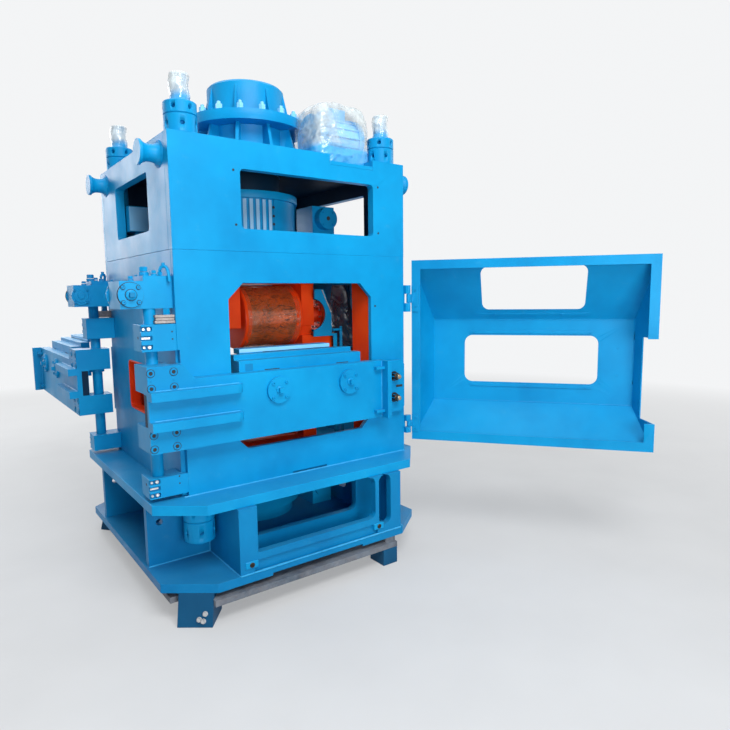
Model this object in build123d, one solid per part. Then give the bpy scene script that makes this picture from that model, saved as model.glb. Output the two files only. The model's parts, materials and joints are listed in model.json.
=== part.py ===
from build123d import *
import math
import os

# Two-roll bar straightening stand.
# X runs to the right along the front face, Y to the back, Z up, in millimetres.
# The origin lies on the floor under the middle of the housing.

os.makedirs("parts", exist_ok=True)

# Housing
body_width = 1400.0
body_depth = 1252.0
frame_top = 1768.0
box_top = 2304.0
plate_wall = 30.0
box_wall = 50.0
deck_thickness = 50.0
deck_bore_radius = 200.0

# Sub-frame and base
base_plate_bottom = 150.0
base_plate_thickness = 45.0
base_front_overhang = 205.0
base_left_overhang = 150.0
base_right_overhang = 30.0
base_chamfer_x = 220.0
base_chamfer_y = 169.0
base_relief_height = 12.0
base_relief_length = 560.0
base_relief_shift = -60.0
base_front_step = 20.0
base_wall = 40.0
base_nut_room = 7.0
inner_wall_front = 14.0
fin_eye_radius = 17.0
fin_eye_in = 63.0
fin_eye_drop = 112.0
fin_corner = 24.0
fin_inset = 12.0
base_window_low = 292.0
base_window_left = -418.0
base_window_right = 312.0
base_window_corner = 36.0
bay_left = 337.0
bay_right = 422.0
bay_low = 242.0
bolt_recess_left = -440.0
bolt_recess_right = 326.0
bolt_recess_high = 256.0
bolt_recess_depth = 14.0
side_window_half = 300.0
rail_low = 95.0
rail_high = 125.0
rail_width = 100.0
rail_left = -815.0
rail_right = 452.0
rail_front_left = -655.0
rail_side_end = 685.0
rail_reach = 20.0
rail_spacer = 70.0
centre_foot_half = 60.0
foot_length = 170.0
foot_depth = 130.0
foot_flare = 42.0
foot_shift = 30.0
foot_room = 1.0

# Lower plate
lower_plate_top = 579.0
lower_plate_thickness = 49.0
lower_front_overhang = 183.0
lower_left_overhang = 165.0
lower_right_overhang = 95.0
lower_chamfer_x = 207.0
lower_chamfer_y = 163.0
lower_right_chamfer_y = 232.0

# Windows of the housing
window_low = 766.0
window_high = 1611.0
window_left = -432.0
window_right = 451.0
window_chamfer = 78.0
upper_window_low = 1880.0
upper_window_high = 2168.0
upper_window_left = -347.0
upper_window_right = 474.0
upper_side_window = 297.0
window_corner = 22.0
inlet_half = 235.0
inlet_low = 900.0
inlet_high = 1185.0
inlet_corner = 30.0
liner_wall = 10.0
liner_depth = 60.0
column_edge = 455.0
column_wall = 20.0
column_room = 50.0
lining_floor = 12.0
foot_slot_left = -96.0
foot_slot_right = 124.0
foot_slot_height = 14.0
motor_notch_left = 183.0
motor_notch_right = 473.0
motor_notch_depth = 56.0

# Tie rods
rod_inset_x = 100.0
rod_inset_y = 91.0
rod_radius = 36.0
rod_top = 2580.0
rod_bottom = 296.0
rod_clearance = 0.3
nut_radius = 78.0
nut_height = 88.0
lock_nut_height = 60.0
nut_chamfer = 4.0
base_nut_height = 215.0
tommy_radius = 9.0
tommy_depth = 26.0
tommy_count = 3
tommy_turn = 40.0

# Lifting trunnions
trunnion_inset = 126.0
trunnion_z = 2215.0
trunnion_radius = 40.0
trunnion_length = 100.0
trunnion_flange_radius = 58.0
trunnion_flange = 14.0

# Screw-down on the roof
screw_x = -45.0
roof_screw_x = 0.0
housing_radius = 225.0
housing_flange_radius = 338.0
housing_foot_radius = 335.0
housing_flange_low = 2512.0
housing_flange_thickness = 56.0
housing_foot_thickness = 24.0
cap_radius = 224.0
cap_height = 190.0
cap_chamfer = 14.0
cap_rim_radius = 254.0
cap_rim = 26.0
gusset_count = 10
gusset_wall = 18.0
gusset_turn = 18.0
gusset_root = 5.0
gusset_bite = 2.0
gusset_low_inset = 6.0
gusset_high_inset = 60.0

# Screw-down motor
motor_x = 345.0
motor_y = -395.0
motor_radius = 128.0
motor_length = 300.0
motor_axis_height = 190.0
motor_plate = 22.0
motor_bell = 34.0
motor_foot = 44.0
motor_foot_spread = 90.0
terminal_box = 120.0
terminal_box_height = 166.0
fin_count = 16
fin_height = 9.0
fin_width = 6.0

# Pieces seen through the upper windows
sleeve_radius = 312.0
sleeve_flange_radius = 328.0
sleeve_flange = 42.0
sleeve_high = 2090.0
sleeve_groove = 14.0
sleeve_groove_count = 5
sleeve_groove_step = 7.0
sleeve_groove_turn = 250.0
swivel_box_left = 395.0
swivel_box_right = 560.0
swivel_box_front = -90.0
swivel_box_rear = 110.0
swivel_box_height = 345.0
swivel_cap_radius = 68.0
swivel_cap_length = 60.0
swivel_cap_z = 2033.0
switch_box_left = -645.0
switch_box_right = -430.0
switch_box_front = 250.0
switch_box_rear = 450.0
switch_box_low = 1930.0
switch_box_high = 2075.0
switch_leg_inset = 45.0

# Rolls
roll_x = 30.0
roll_y = -50.0
roll_radius = 188.0
roll_waist = 10.0
roll_stations = 6
roll_length = 380.0
upper_roll_skew = 0.0
lower_roll_skew = -10.0
upper_roll_z = 1420.0
lower_roll_z = 852.0
journal_radius = 52.0
journal_clearance = 0.3
chock_width = 88.0
chock_depth = 300.0
chock_gap = 14.0
chock_drop = 60.0
coupling_radius = 97.0
coupling_thickness = 26.0
coupling_boss = 44.0
coupling_gap = 78.0
saddle_low = 220.0
saddle_high = 120.0
saddle_end = 440.0
saddle_neck_inset = 30.0
carrier_radius = 330.0
carrier_thickness = 60.0
upper_carrier_thickness = 100.0

# Drive of the lower roll's adjustment, in the base
lower_drum_radius = 290.0
lower_drum_foot = 250.0
lower_drum_foot_height = 75.0
lower_collar_radius = 312.0
lower_collar = 50.0
worm_box_left = 290.0
worm_box_right = 430.0
worm_box_front = -190.0
worm_box_rear = 40.0
worm_box_height = 210.0
worm_cover_radius = 55.0
worm_cover = 16.0

# Guard beside the coupling
guard_y = -236.0
guard_wall = 12.0
guard_high = 1583.0
guard_tip_left = 303.0
guard_horn_left = 290.0
guard_tip_right = 369.0
guard_outer = 424.0
guard_shoulder = 1304.0
guard_low = 1290.0
guard_leg_left = 436.0
guard_leg_right = 464.0
guard_arc_x = 282.0
guard_arc_z = 1430.0
guard_arc_radius = 97.0

# Hinge gear of the guide beams
hinge_out = 103.0
hinge_in = 61.0
shaft_radius = 29.0
shaft_clearance = 0.05
bracket_reach = 162.0
bracket_depth = 126.0
upper_bracket_low = 1297.0
upper_bracket_height = 126.0
lower_bracket_low = 600.0
lower_bracket_height = 97.0
beam_notch = 22.0
shaft_notch = 12.0
shaft_notch_height = 62.0
gearbox_low = 1495.0
gearbox_height = 127.0
gearbox_reach = 237.0
gearbox_depth = 190.0
gearbox_setback = 30.0
gearbox_cover = 24.0
gearbox_flange_radius = 56.0
gearbox_flange = 10.0
gearbox_flange_in = 47.0
shaft_seat = 30.0
shaft_lift = 8.0
collar_wall = 12.0
collar_height = 18.0
clamp_pocket = 50.0
clamp_pocket_depth = 14.0
clamp_pocket_height = 22.0

# Guide beams
beam_gap = 4.0
beam_plate = 65.0
beam_low = 832.0
beam_high = 1165.0
beam_overhang = 63.0
beam_end_inset = 200.0
knuckle_top = 1235.0
knuckle_height = 128.0
lower_knuckle_height = 118.0
knuckle_clearance = 0.3
knuckle_reach = 126.0
knuckle_depth = 130.0
head_length = 165.0
head_fillet = 55.0
rib_reach = 48.0
rib_height = 42.0
rib_length = 450.0
rib_tip = 34.0
rib_heights = (962.0, 1101.0)
latch_length = 170.0
latch_plate = 34.0
latch_chamfer = 26.0
end_rib = 28.0
end_rib_reach = 56.0
grip_length = 60.0
grip_wall = 14.0
grip_inset = 40.0
latch_inset = 12.0
latch_bolt_out = 88.0
latch_bolt_levels = (932.0, 1060.0)
latch_nut_radius = 22.0
latch_nut_height = 28.0
latch_stud_radius = 12.0
latch_stud_length = 52.0
block_left = -392.0
block_right = 366.0
block_step = 26.0
block_low_depth = 60.0
block_high_depth = 55.0
block_seat = 150.0
block_low_rise = 56.0
block_high_rise = 82.0
shoe_left = -336.0
shoe_right = 228.0
shoe_depth = 66.0
shoe_thickness = 28.0
shoe_rise = 106.0
shoe_web = 8.0
beam_caps = (-207.0, 237.0)
beam_cap_z = 1065.0
beam_cap_radius = 68.0
beam_cap_thickness = 16.0
square_shaft = 24.0
rear_beam_open = 90.0

# Front door
door_hinge_side = 26.5
door_hinge_front = 13.5
door_open = 127.2
door_low = 640.0
door_high = 1750.0
door_width = 1390.0
door_set_side = 12.7
door_set_front = 32.5
door_depth = 270.0
door_skin = 6.0
door_flange = 54.0
door_panel_near = 90.0
door_panel_far = 1310.0
door_panel_low = 850.0
door_panel_high = 1387.0
door_window_near = 296.0
door_window_far = 1104.0
door_window_low = 980.0
door_window_high = 1280.0
door_window_corner = 50.0
top_window_near = 410.0
top_window_far = 1016.0
top_window_low = 1445.0
top_window_high = 1700.0
top_window_corner = 40.0
notch_width = 130.0
notch_depth = 165.0
notch_low = 802.0
notch_high = 1282.0
strip_near = 330.0
strip_far = 1070.0
strip_width = 18.0
strip_thickness = 5.0
strip_room = 20.0
door_hinge_levels = ((1440.0, 1600.0), (690.0, 800.0))
door_barrel_radius = 13.0
door_pin_radius = 6.0
door_pin_clearance = 0.08
door_leaf_wall = 6.0
door_leaf_web = 12.0
door_bracket_leaf = 8.0
door_bracket_depth = 60.0
door_barrel_gap = 1.0

half_width = body_width / 2
half_depth = body_depth / 2
base_plate_top = base_plate_bottom + base_plate_thickness
lower_plate_bottom = lower_plate_top - lower_plate_thickness
base_front = -(half_depth + base_front_overhang)
rod_x = half_width - rod_inset_x
rod_y = half_depth - rod_inset_y
base_half_width = rod_x - nut_radius - base_nut_room
fin_offset = rod_y - nut_radius - base_nut_room - base_wall
column_back = rod_y - rod_radius - column_room - column_wall
trunnion_y = half_depth - trunnion_inset
hinge_x = -(half_width + hinge_out)
hinge_y = -(half_depth - hinge_in)
door_hinge_x = half_width + door_hinge_side
door_hinge_y = -(half_depth + door_hinge_front)


def block(x0, x1, y0, y1, z0, z1):
    """A box between two corners."""
    middle = Pos((x0 + x1) / 2, (y0 + y1) / 2, (z0 + z1) / 2)
    return middle * Box(abs(x1 - x0), abs(y1 - y0), abs(z1 - z0))


def upright(x, y, z0, z1, radius):
    """A vertical cylinder."""
    return Pos(x, y, (z0 + z1) / 2) * Cylinder(radius, z1 - z0)


def along_x(x0, x1, y, z, radius):
    """A cylinder that lies along X."""
    return Pos((x0 + x1) / 2, y, z) * Rot(0, 90, 0) * Cylinder(radius, abs(x1 - x0))


def along_y(x, y0, y1, z, radius):
    """A cylinder that lies along Y."""
    return Pos(x, (y0 + y1) / 2, z) * Rot(90, 0, 0) * Cylinder(radius, abs(y1 - y0))


def front_panel(x0, x1, z0, z1, y0, y1, corner):
    """A plate or a cut that faces the front, with rounded corners."""
    outline = Pos((x0 + x1) / 2, (z0 + z1) / 2) * RectangleRounded(x1 - x0, z1 - z0, corner)
    return Pos(0, y0, 0) * Rot(90, 0, 0) * extrude(outline, -(y1 - y0))


def side_panel(y0, y1, z0, z1, x0, x1, corner):
    """A plate or a cut that faces the side, with rounded corners."""
    outline = Pos((y0 + y1) / 2, (z0 + z1) / 2) * RectangleRounded(y1 - y0, z1 - z0, corner)
    return extrude(Plane.YZ.offset(x0) * outline, x1 - x0)


def front_shape(points, y0, y1):
    """A prism whose outline stands in the front plane."""
    outline = Polygon(*points, align=None)
    return Pos(0, y0, 0) * Rot(90, 0, 0) * extrude(outline, -(y1 - y0))


def cut_corner_plate(left, right, reach, chamfer_x, chamfer_y, right_chamfer_y, z0, z1):
    """A flat plate with its four corners cut off."""
    points = [
        (left + chamfer_x, -reach),
        (right - chamfer_x, -reach),
        (right, -reach + right_chamfer_y),
        (right, reach - right_chamfer_y),
        (right - chamfer_x, reach),
        (left + chamfer_x, reach),
        (left, reach - chamfer_y),
        (left, -reach + chamfer_y),
    ]
    return Pos(0, 0, z0) * extrude(Polygon(*points, align=None), z1 - z0)


def to_rear(shape):
    """The same piece on the rear side."""
    return mirror(shape, about=Plane.XZ)


def to_right(shape):
    """The same piece on the right side."""
    return mirror(shape, about=Plane.YZ)


def save(name, *solids):
    """Write one node."""
    shape = solids[0] if len(solids) == 1 else Compound(children=list(solids))
    export_step(shape, f"parts/{name}.step")


def four_corners(make):
    """The four copies of a piece that stands at each tie rod."""
    return [make(side * rod_x, end * rod_y) for side in (-1, 1) for end in (-1, 1)]


# Sub-frame


def left_foot(room):
    """The front left foot, square to the cut corner, its face flared toward the floor."""
    half = foot_length / 2 + room
    profile = Polygon(
        (-foot_flare - room, 0),
        (foot_depth + room, 0),
        (foot_depth + room, base_plate_bottom),
        (-room, base_plate_bottom),
        align=None,
    )
    foot = Pos(foot_shift - half, 0, 0) * extrude(Plane.YZ * profile, 2 * half)
    x = base_chamfer_x / 2 - half_width - base_left_overhang
    y = base_front + base_chamfer_y / 2
    turn = math.degrees(math.atan2(base_chamfer_y, base_chamfer_x))
    return Pos(x, y, 0) * Rot(0, 0, -turn) * foot


def right_foot():
    """The low block under the right end of the front bar."""
    front = base_front - rail_reach
    return block(rail_right - rail_width, rail_right, front, front + foot_depth, 0, rail_low)


def centre_foot():
    """The low block under the middle of the cross bar."""
    half = centre_foot_half
    return block(-half, half, -half, half, 0, rail_low)


def sub_frame():
    """Flat bars under the base, cut back at the left feet, with spacers up to the base plate."""
    front = base_front - rail_reach
    half = rail_width / 2
    frame = block(rail_front_left, rail_right, front, front + rail_width, rail_low, rail_high)
    frame = frame + block(
        rail_right - rail_spacer,
        rail_right,
        base_front,
        base_front + rail_spacer,
        rail_high,
        base_plate_bottom,
    )
    frame = frame + to_rear(frame)
    frame = frame + block(rail_right - rail_width, rail_right, front, -front, rail_low, rail_high)
    frame = frame + block(
        rail_left, rail_left + rail_width, -rail_side_end, rail_side_end, rail_low, rail_high
    )
    frame = frame + block(rail_left, rail_right, -half, half, rail_low, rail_high)
    cut = left_foot(foot_room)
    return frame - cut - to_rear(cut)


front_feet = [left_foot(0), right_foot()]
save("skid_rails", sub_frame())
save("corner_feet", *front_feet, *[to_rear(foot) for foot in front_feet], centre_foot())


# Base


def base_plate():
    """The bottom plate, relieved under its front and rear edges."""
    left = -(half_width + base_left_overhang)
    right = half_width + base_right_overhang
    reach = half_depth + base_front_overhang
    plate = cut_corner_plate(
        left,
        right,
        reach,
        base_chamfer_x,
        base_chamfer_y,
        base_chamfer_y,
        base_plate_bottom,
        base_plate_top,
    )
    relief = block(
        base_relief_shift - base_relief_length / 2,
        base_relief_shift + base_relief_length / 2,
        -reach - 1,
        -reach + base_wall,
        base_plate_bottom - 1,
        base_plate_bottom + base_relief_height,
    )
    return plate - relief - to_rear(relief)


def base_front_wall():
    """The front wall with its wide window and the narrow bay beside it."""
    wall = block(
        -base_half_width,
        base_half_width - base_front_step,
        base_front,
        base_front + base_wall,
        base_plate_top,
        lower_plate_bottom,
    )
    through = (base_front - 1, base_front + base_wall + 1)
    window = front_panel(
        base_window_left,
        base_window_right,
        base_window_low,
        lower_plate_bottom,
        *through,
        base_window_corner,
    )
    bay = front_panel(
        bay_left, bay_right, bay_low, lower_plate_bottom, *through, base_window_corner
    )
    window = window + block(
        base_window_left,
        base_window_left + base_window_corner,
        *through,
        base_window_low,
        lower_plate_bottom,
    )
    recess = block(
        bolt_recess_left,
        bolt_recess_right,
        base_front - 1,
        base_front + bolt_recess_depth,
        base_plate_top - 1,
        bolt_recess_high,
    )
    return wall - window - bay - recess


def base_side_wall(side):
    """A side wall between the front and rear walls."""
    x = side * base_half_width
    inner = x - side * base_wall
    wall = block(
        x,
        inner,
        base_front + base_wall,
        -base_front - base_wall,
        base_plate_top,
        lower_plate_bottom,
    )
    window = side_panel(
        -side_window_half,
        side_window_half,
        base_window_low,
        lower_plate_bottom,
        min(x, inner) - 1,
        max(x, inner) + 1,
        base_window_corner,
    )
    return wall - window


def base_fin(side, end):
    """A fin that backs a corner pocket, with a rounded top corner and a lifting eye."""
    overhang = base_left_overhang if side < 0 else base_right_overhang
    outer = side * (half_width + overhang - fin_inset)
    inner = side * base_half_width
    x0, x1 = min(outer, inner), max(outer, inner)
    y0 = fin_offset
    fin = block(x0, x1, y0, y0 + base_wall, base_plate_top, lower_plate_bottom)
    corner = fin.edges().filter_by(Axis.Y).sort_by(lambda e: -side * e.center().X - e.center().Z)[0]
    fin = fillet(corner, fin_corner)
    eye = along_y(
        outer - side * fin_eye_in,
        y0 - 1,
        y0 + base_wall + 1,
        lower_plate_bottom - fin_eye_drop,
        fin_eye_radius,
    )
    fin = fin - eye
    return fin if end > 0 else to_rear(fin)


def base_inner_wall():
    """The inner cross wall with a rounded window."""
    limit = base_half_width - base_wall
    y0 = -(half_depth + inner_wall_front)
    y1 = y0 + base_wall
    wall = block(-limit, limit, y0, y1, base_plate_top, lower_plate_bottom)
    return wall - front_panel(
        base_window_left,
        base_window_right,
        base_window_low,
        lower_plate_bottom,
        y0 - 1,
        y1 + 1,
        base_window_corner,
    )


save("base_plate", base_plate())
save("base_front_wall", base_front_wall())
save("base_rear_wall", to_rear(base_front_wall()))
fins = [base_fin(side, end) for side in (-1, 1) for end in (-1, 1)]
inner_walls = [base_inner_wall(), to_rear(base_inner_wall())]
save("base_webs", base_side_wall(-1), base_side_wall(1), *fins, *inner_walls)


def lower_plate():
    """The thick plate that carries the housing, bored for the tie rods."""
    plate = cut_corner_plate(
        -(half_width + lower_left_overhang),
        half_width + lower_right_overhang,
        half_depth + lower_front_overhang,
        lower_chamfer_x,
        lower_chamfer_y,
        lower_right_chamfer_y,
        lower_plate_bottom,
        lower_plate_top,
    )
    bores = four_corners(
        lambda x, y: upright(
            x, y, lower_plate_bottom - 1, lower_plate_top + 1, rod_radius + rod_clearance
        )
    )
    return plate - bores


save("lower_plate", lower_plate())


def lower_cylinder():
    """The drum of the lower roll's adjustment, seen through the base window."""
    foot_top = base_plate_top + lower_drum_foot_height
    foot = upright(screw_x, 0, base_plate_top, foot_top, lower_drum_foot)
    drum = upright(screw_x, 0, foot_top, lower_plate_bottom, lower_drum_radius)
    collar = upright(
        screw_x, 0, lower_plate_bottom - lower_collar, lower_plate_bottom, lower_collar_radius
    )
    return foot + drum + collar


def lower_gearbox():
    """The worm box beside the drum."""
    box = block(
        worm_box_left,
        worm_box_right,
        worm_box_front,
        worm_box_rear,
        base_plate_top,
        base_plate_top + worm_box_height,
    )
    cover = along_y(
        (worm_box_left + worm_box_right) / 2,
        worm_box_front - worm_cover,
        worm_box_front,
        base_plate_top + worm_box_height / 2,
        worm_cover_radius,
    )
    return box + cover


save("lower_adjustment", lower_cylinder(), lower_gearbox())


# Housing


def frame_window(y0, y1):
    """The cut of the eight-sided window."""
    c = window_chamfer
    points = [
        (window_left + c, window_low),
        (window_right - c, window_low),
        (window_right, window_low + c),
        (window_right, window_high - c),
        (window_right - c, window_high),
        (window_left + c, window_high),
        (window_left, window_high - c),
        (window_left, window_low + c),
    ]
    return front_shape(points, y0, y1)


def frame_front_plate():
    """The front plate of the roll housing."""
    y0 = -half_depth
    y1 = y0 + plate_wall
    plate = block(-half_width, half_width, y0, y1, lower_plate_top, frame_top)
    slot = block(
        foot_slot_left,
        foot_slot_right,
        y0 - 1,
        y1 + 1,
        lower_plate_top - 1,
        lower_plate_top + foot_slot_height,
    )
    low_notch = block(
        -half_width - 1, beam_notch - half_width, y0 - 1, y1 + 1, lower_plate_top - 1, beam_low
    )
    high_notch = block(
        -half_width - 1,
        shaft_notch - half_width,
        y0 - 1,
        y1 + 1,
        upper_bracket_low - shaft_notch_height,
        upper_bracket_low,
    )
    return plate - frame_window(y0 - 1, y1 + 1) - slot - low_notch - high_notch


def frame_side_plate():
    """The left plate of the roll housing with the bar inlet."""
    x0 = -half_width
    x1 = x0 + plate_wall
    y = half_depth - plate_wall
    plate = block(x0, x1, -y, y, lower_plate_top, frame_top)
    return plate - side_panel(
        -inlet_half, inlet_half, inlet_low, inlet_high, x0 - 1, x1 + 1, inlet_corner
    )


def inlet_liner():
    """The lining of the bar inlet."""
    x0 = -half_width
    x1 = x0 + liner_depth
    ring = side_panel(-inlet_half, inlet_half, inlet_low, inlet_high, x0, x1, inlet_corner)
    hole = side_panel(
        -inlet_half + liner_wall,
        inlet_half - liner_wall,
        inlet_low + liner_wall,
        inlet_high - liner_wall,
        x0 - 1,
        x1 + 1,
        inlet_corner - liner_wall,
    )
    return ring - hole


def inner_column(side, end):
    """The angle that closes a corner of the housing round its tie rod."""
    reach = half_depth - plate_wall
    high = frame_top - deck_thickness
    outer = column_edge + column_wall
    web = block(column_edge, outer, column_back, reach, lower_plate_top, high)
    leg = block(
        outer, half_width - plate_wall, column_back, column_back + column_wall, lower_plate_top, high
    )
    column = web + leg
    column = column if side > 0 else to_right(column)
    return column if end > 0 else to_rear(column)


def chamber_floor():
    """The floor of the roll chamber between the columns."""
    reach = half_depth - plate_wall
    return block(
        -column_edge, column_edge, -reach, reach, lower_plate_top, lower_plate_top + lining_floor
    )


def chamber_deck():
    """The plate between the roll housing and the upper box."""
    x = half_width - plate_wall
    y = half_depth - plate_wall
    deck = block(-x, x, -y, y, frame_top - deck_thickness, frame_top)
    deck = deck - upright(
        screw_x, 0, frame_top - deck_thickness - 1, frame_top + 1, deck_bore_radius
    )
    bores = four_corners(
        lambda x, y: upright(
            x, y, frame_top - deck_thickness - 1, frame_top + 1, rod_radius + rod_clearance
        )
    )
    return deck - bores


save("frame_front_plate", frame_front_plate())
save("frame_rear_plate", to_rear(frame_front_plate()))
save("frame_side_plates", frame_side_plate(), to_right(frame_side_plate()))
save("bar_inlet_liners", inlet_liner(), to_right(inlet_liner()))
columns = [inner_column(side, end) for side in (-1, 1) for end in (-1, 1)]
save("chamber_lining", chamber_floor(), *columns)
save("chamber_deck", chamber_deck())


# Upper box


def upper_front_plate():
    """The front plate of the upper box, notched for the motor."""
    y0 = -half_depth
    y1 = y0 + box_wall
    plate = block(-half_width, half_width, y0, y1, frame_top, box_top)
    window = front_panel(
        upper_window_left,
        upper_window_right,
        upper_window_low,
        upper_window_high,
        y0 - 1,
        y1 + 1,
        window_corner,
    )
    notch = block(
        motor_notch_left,
        motor_notch_right,
        y0 - 1,
        y1 + 1,
        box_top - motor_notch_depth,
        box_top + 1,
    )
    return plate - window - notch


def upper_rear_plate():
    """The rear plate of the upper box."""
    y1 = half_depth
    y0 = y1 - box_wall
    plate = block(-half_width, half_width, y0, y1, frame_top, box_top)
    return plate - front_panel(
        upper_window_left,
        upper_window_right,
        upper_window_low,
        upper_window_high,
        y0 - 1,
        y1 + 1,
        window_corner,
    )


def upper_side_plate():
    """The left plate of the upper box."""
    x0 = -half_width
    x1 = x0 + box_wall
    y = half_depth - box_wall
    plate = block(x0, x1, -y, y, frame_top, box_top)
    return plate - side_panel(
        -upper_side_window,
        upper_side_window,
        upper_window_low,
        upper_window_high,
        x0 - 1,
        x1 + 1,
        window_corner,
    )


def top_deck():
    """The roof plate with the motor's cut-out."""
    x = half_width - box_wall
    y = half_depth - box_wall
    deck = block(-x, x, -y, y, box_top - deck_thickness, box_top)
    notch = block(
        motor_notch_left,
        motor_notch_right,
        -y - 1,
        motor_y + motor_radius,
        box_top - motor_notch_depth,
        box_top + 1,
    )
    bores = four_corners(
        lambda x, y: upright(
            x, y, box_top - deck_thickness - 1, box_top + 1, rod_radius + rod_clearance
        )
    )
    return deck - notch - bores


save("upper_front_plate", upper_front_plate())
save("upper_rear_plate", upper_rear_plate())
save("upper_side_plates", upper_side_plate(), to_right(upper_side_plate()))


# Tie rods and nuts


def round_nut(heights, holes):
    """Round nuts stacked on one rod, with a seam between them and radial tommy-bar holes."""
    bore = rod_radius + rod_clearance
    c = nut_chamfer
    points = [(bore, 0)]
    level = 0.0
    for height in heights:
        points += [
            (nut_radius - c, level),
            (nut_radius, level + c),
            (nut_radius, level + height - c),
            (nut_radius - c, level + height),
        ]
        level += height
    points.append((bore, level))
    nut = revolve(Plane.XZ * Polygon(*points, align=None), Axis.Z)
    level = 0.0
    for row, height in enumerate(heights):
        for turn in range(holes):
            hole = Pos(nut_radius, 0, 0) * Rot(0, 90, 0) * Cylinder(tommy_radius, 2 * tommy_depth)
            angle = 360 * turn / holes + tommy_turn * row
            nut = nut - Pos(0, 0, level + height / 2) * Rot(0, 0, angle) * hole
        level += height
    return nut


top_nut = round_nut((nut_height, lock_nut_height), tommy_count)
base_nut = round_nut((base_nut_height / 2, base_nut_height / 2), 0)
base_nut_low = lower_plate_bottom - base_nut_height
save("tie_rods", *four_corners(lambda x, y: upright(x, y, rod_bottom, rod_top, rod_radius)))
save("top_nuts", *four_corners(lambda x, y: Pos(x, y, box_top) * top_nut))
save("base_nuts", *four_corners(lambda x, y: Pos(x, y, base_nut_low) * base_nut))


def trunnion(end):
    """A flanged pin that the lifting rope goes round."""
    y = end * trunnion_y
    pin = along_x(-half_width - trunnion_length, -half_width, y, trunnion_z, trunnion_radius)
    flange = along_x(
        -half_width - trunnion_length,
        -half_width - trunnion_length + trunnion_flange,
        y,
        trunnion_z,
        trunnion_flange_radius,
    )
    return pin + flange


trunnions = [trunnion(-1), trunnion(1)]
save("lifting_trunnions", *trunnions, *[to_right(t) for t in trunnions])


# Screw-down on the roof


def screw_housing():
    """The gusseted housing of the screw-down with its bolted flange."""
    flange_top = housing_flange_low + housing_flange_thickness
    body = upright(roof_screw_x, 0, box_top, flange_top, housing_radius)
    body = body + upright(roof_screw_x, 0, box_top, box_top + housing_foot_thickness, housing_foot_radius)
    body = body + upright(roof_screw_x, 0, housing_flange_low, flange_top, housing_flange_radius)
    low = box_top + housing_foot_thickness
    points = [
        (housing_radius - gusset_root, low - gusset_bite),
        (housing_foot_radius - gusset_low_inset, low - gusset_bite),
        (housing_flange_radius - gusset_high_inset, housing_flange_low + gusset_bite),
        (housing_radius - gusset_root, housing_flange_low + gusset_bite),
    ]
    gusset = Pos(0, gusset_wall / 2, 0) * Rot(90, 0, 0) * extrude(
        Polygon(*points, align=None), gusset_wall
    )
    for turn in range(gusset_count):
        body = body + Pos(roof_screw_x, 0, 0) * Rot(0, 0, 360 * turn / gusset_count + gusset_turn) * gusset
    return body


def screw_cap():
    """The narrower drum above the flange."""
    low = housing_flange_low + housing_flange_thickness
    cap = upright(roof_screw_x, 0, low, low + cap_height, cap_radius)
    cap = chamfer(cap.edges().group_by(Axis.Z)[-1], cap_chamfer)
    rim = upright(roof_screw_x, 0, low, low + cap_rim, cap_rim_radius)
    return cap + rim


save("screwdown_housing", screw_housing())
save("screwdown_cap", screw_cap())


def motor_axis():
    """Height of the motor's axis."""
    return box_top - motor_notch_depth + motor_axis_height


def screw_motor():
    """The finned motor with its feet and terminal box."""
    z = motor_axis()
    half = motor_length / 2
    barrel = motor_radius - fin_height
    body = along_x(motor_x - half, motor_x + half, motor_y, z, barrel)
    for bell in (-1, 1):
        end = motor_x + bell * half
        body = body + along_x(end - bell * motor_bell, end, motor_y, z, motor_radius)
    fin = Pos(0, 0, barrel + fin_height / 2 - 1) * Box(
        motor_length - motor_bell, fin_width, fin_height + 2
    )
    for turn in range(fin_count):
        body = body + Pos(motor_x, motor_y, z) * Rot(360 * turn / fin_count, 0, 0) * fin
    low = box_top - motor_notch_depth + motor_plate
    for foot in (-1, 1):
        x = motor_x + foot * motor_foot_spread
        body = body + block(
            x - motor_foot / 2,
            x + motor_foot / 2,
            motor_y - barrel + fin_height,
            motor_y + barrel - fin_height,
            low,
            z - barrel / 2,
        )
    half_box = terminal_box / 2
    return body + block(
        motor_x - half_box,
        motor_x + half_box,
        motor_y - half_box,
        motor_y + half_box,
        z,
        z + terminal_box_height,
    )


def motor_base():
    """The base plate in the roof's cut-out."""
    low = box_top - motor_notch_depth
    return block(
        motor_notch_left,
        motor_notch_right,
        -half_depth,
        motor_y + motor_radius,
        low,
        low + motor_plate,
    )


save("screwdown_motor", screw_motor())
save("top_deck", top_deck(), motor_base())


def sleeve():
    """The fluted sleeve in the upper box."""
    body = upright(screw_x, 0, frame_top, sleeve_high, sleeve_radius)
    groove = Pos(sleeve_radius, 0, (frame_top + sleeve_high) / 2) * Box(
        sleeve_groove, sleeve_groove, sleeve_high - frame_top
    )
    for step in range(sleeve_groove_count):
        turn = sleeve_groove_turn + step * sleeve_groove_step
        body = body - Pos(screw_x, 0, 0) * Rot(0, 0, turn) * groove
    body = body + upright(screw_x, 0, sleeve_high, sleeve_high + sleeve_flange, sleeve_flange_radius)
    body = body + upright(
        screw_x, 0, sleeve_high + sleeve_flange, box_top - deck_thickness, housing_radius
    )
    return body


def swivel_gearbox():
    """The small gearbox beside the sleeve, with its round cap to the front."""
    box = block(
        swivel_box_left,
        swivel_box_right,
        swivel_box_front,
        swivel_box_rear,
        frame_top,
        frame_top + swivel_box_height,
    )
    x = (swivel_box_left + swivel_box_right) / 2
    cap = along_y(
        x, swivel_box_front - swivel_cap_length, swivel_box_front, swivel_cap_z, swivel_cap_radius
    )
    return box + cap


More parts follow.
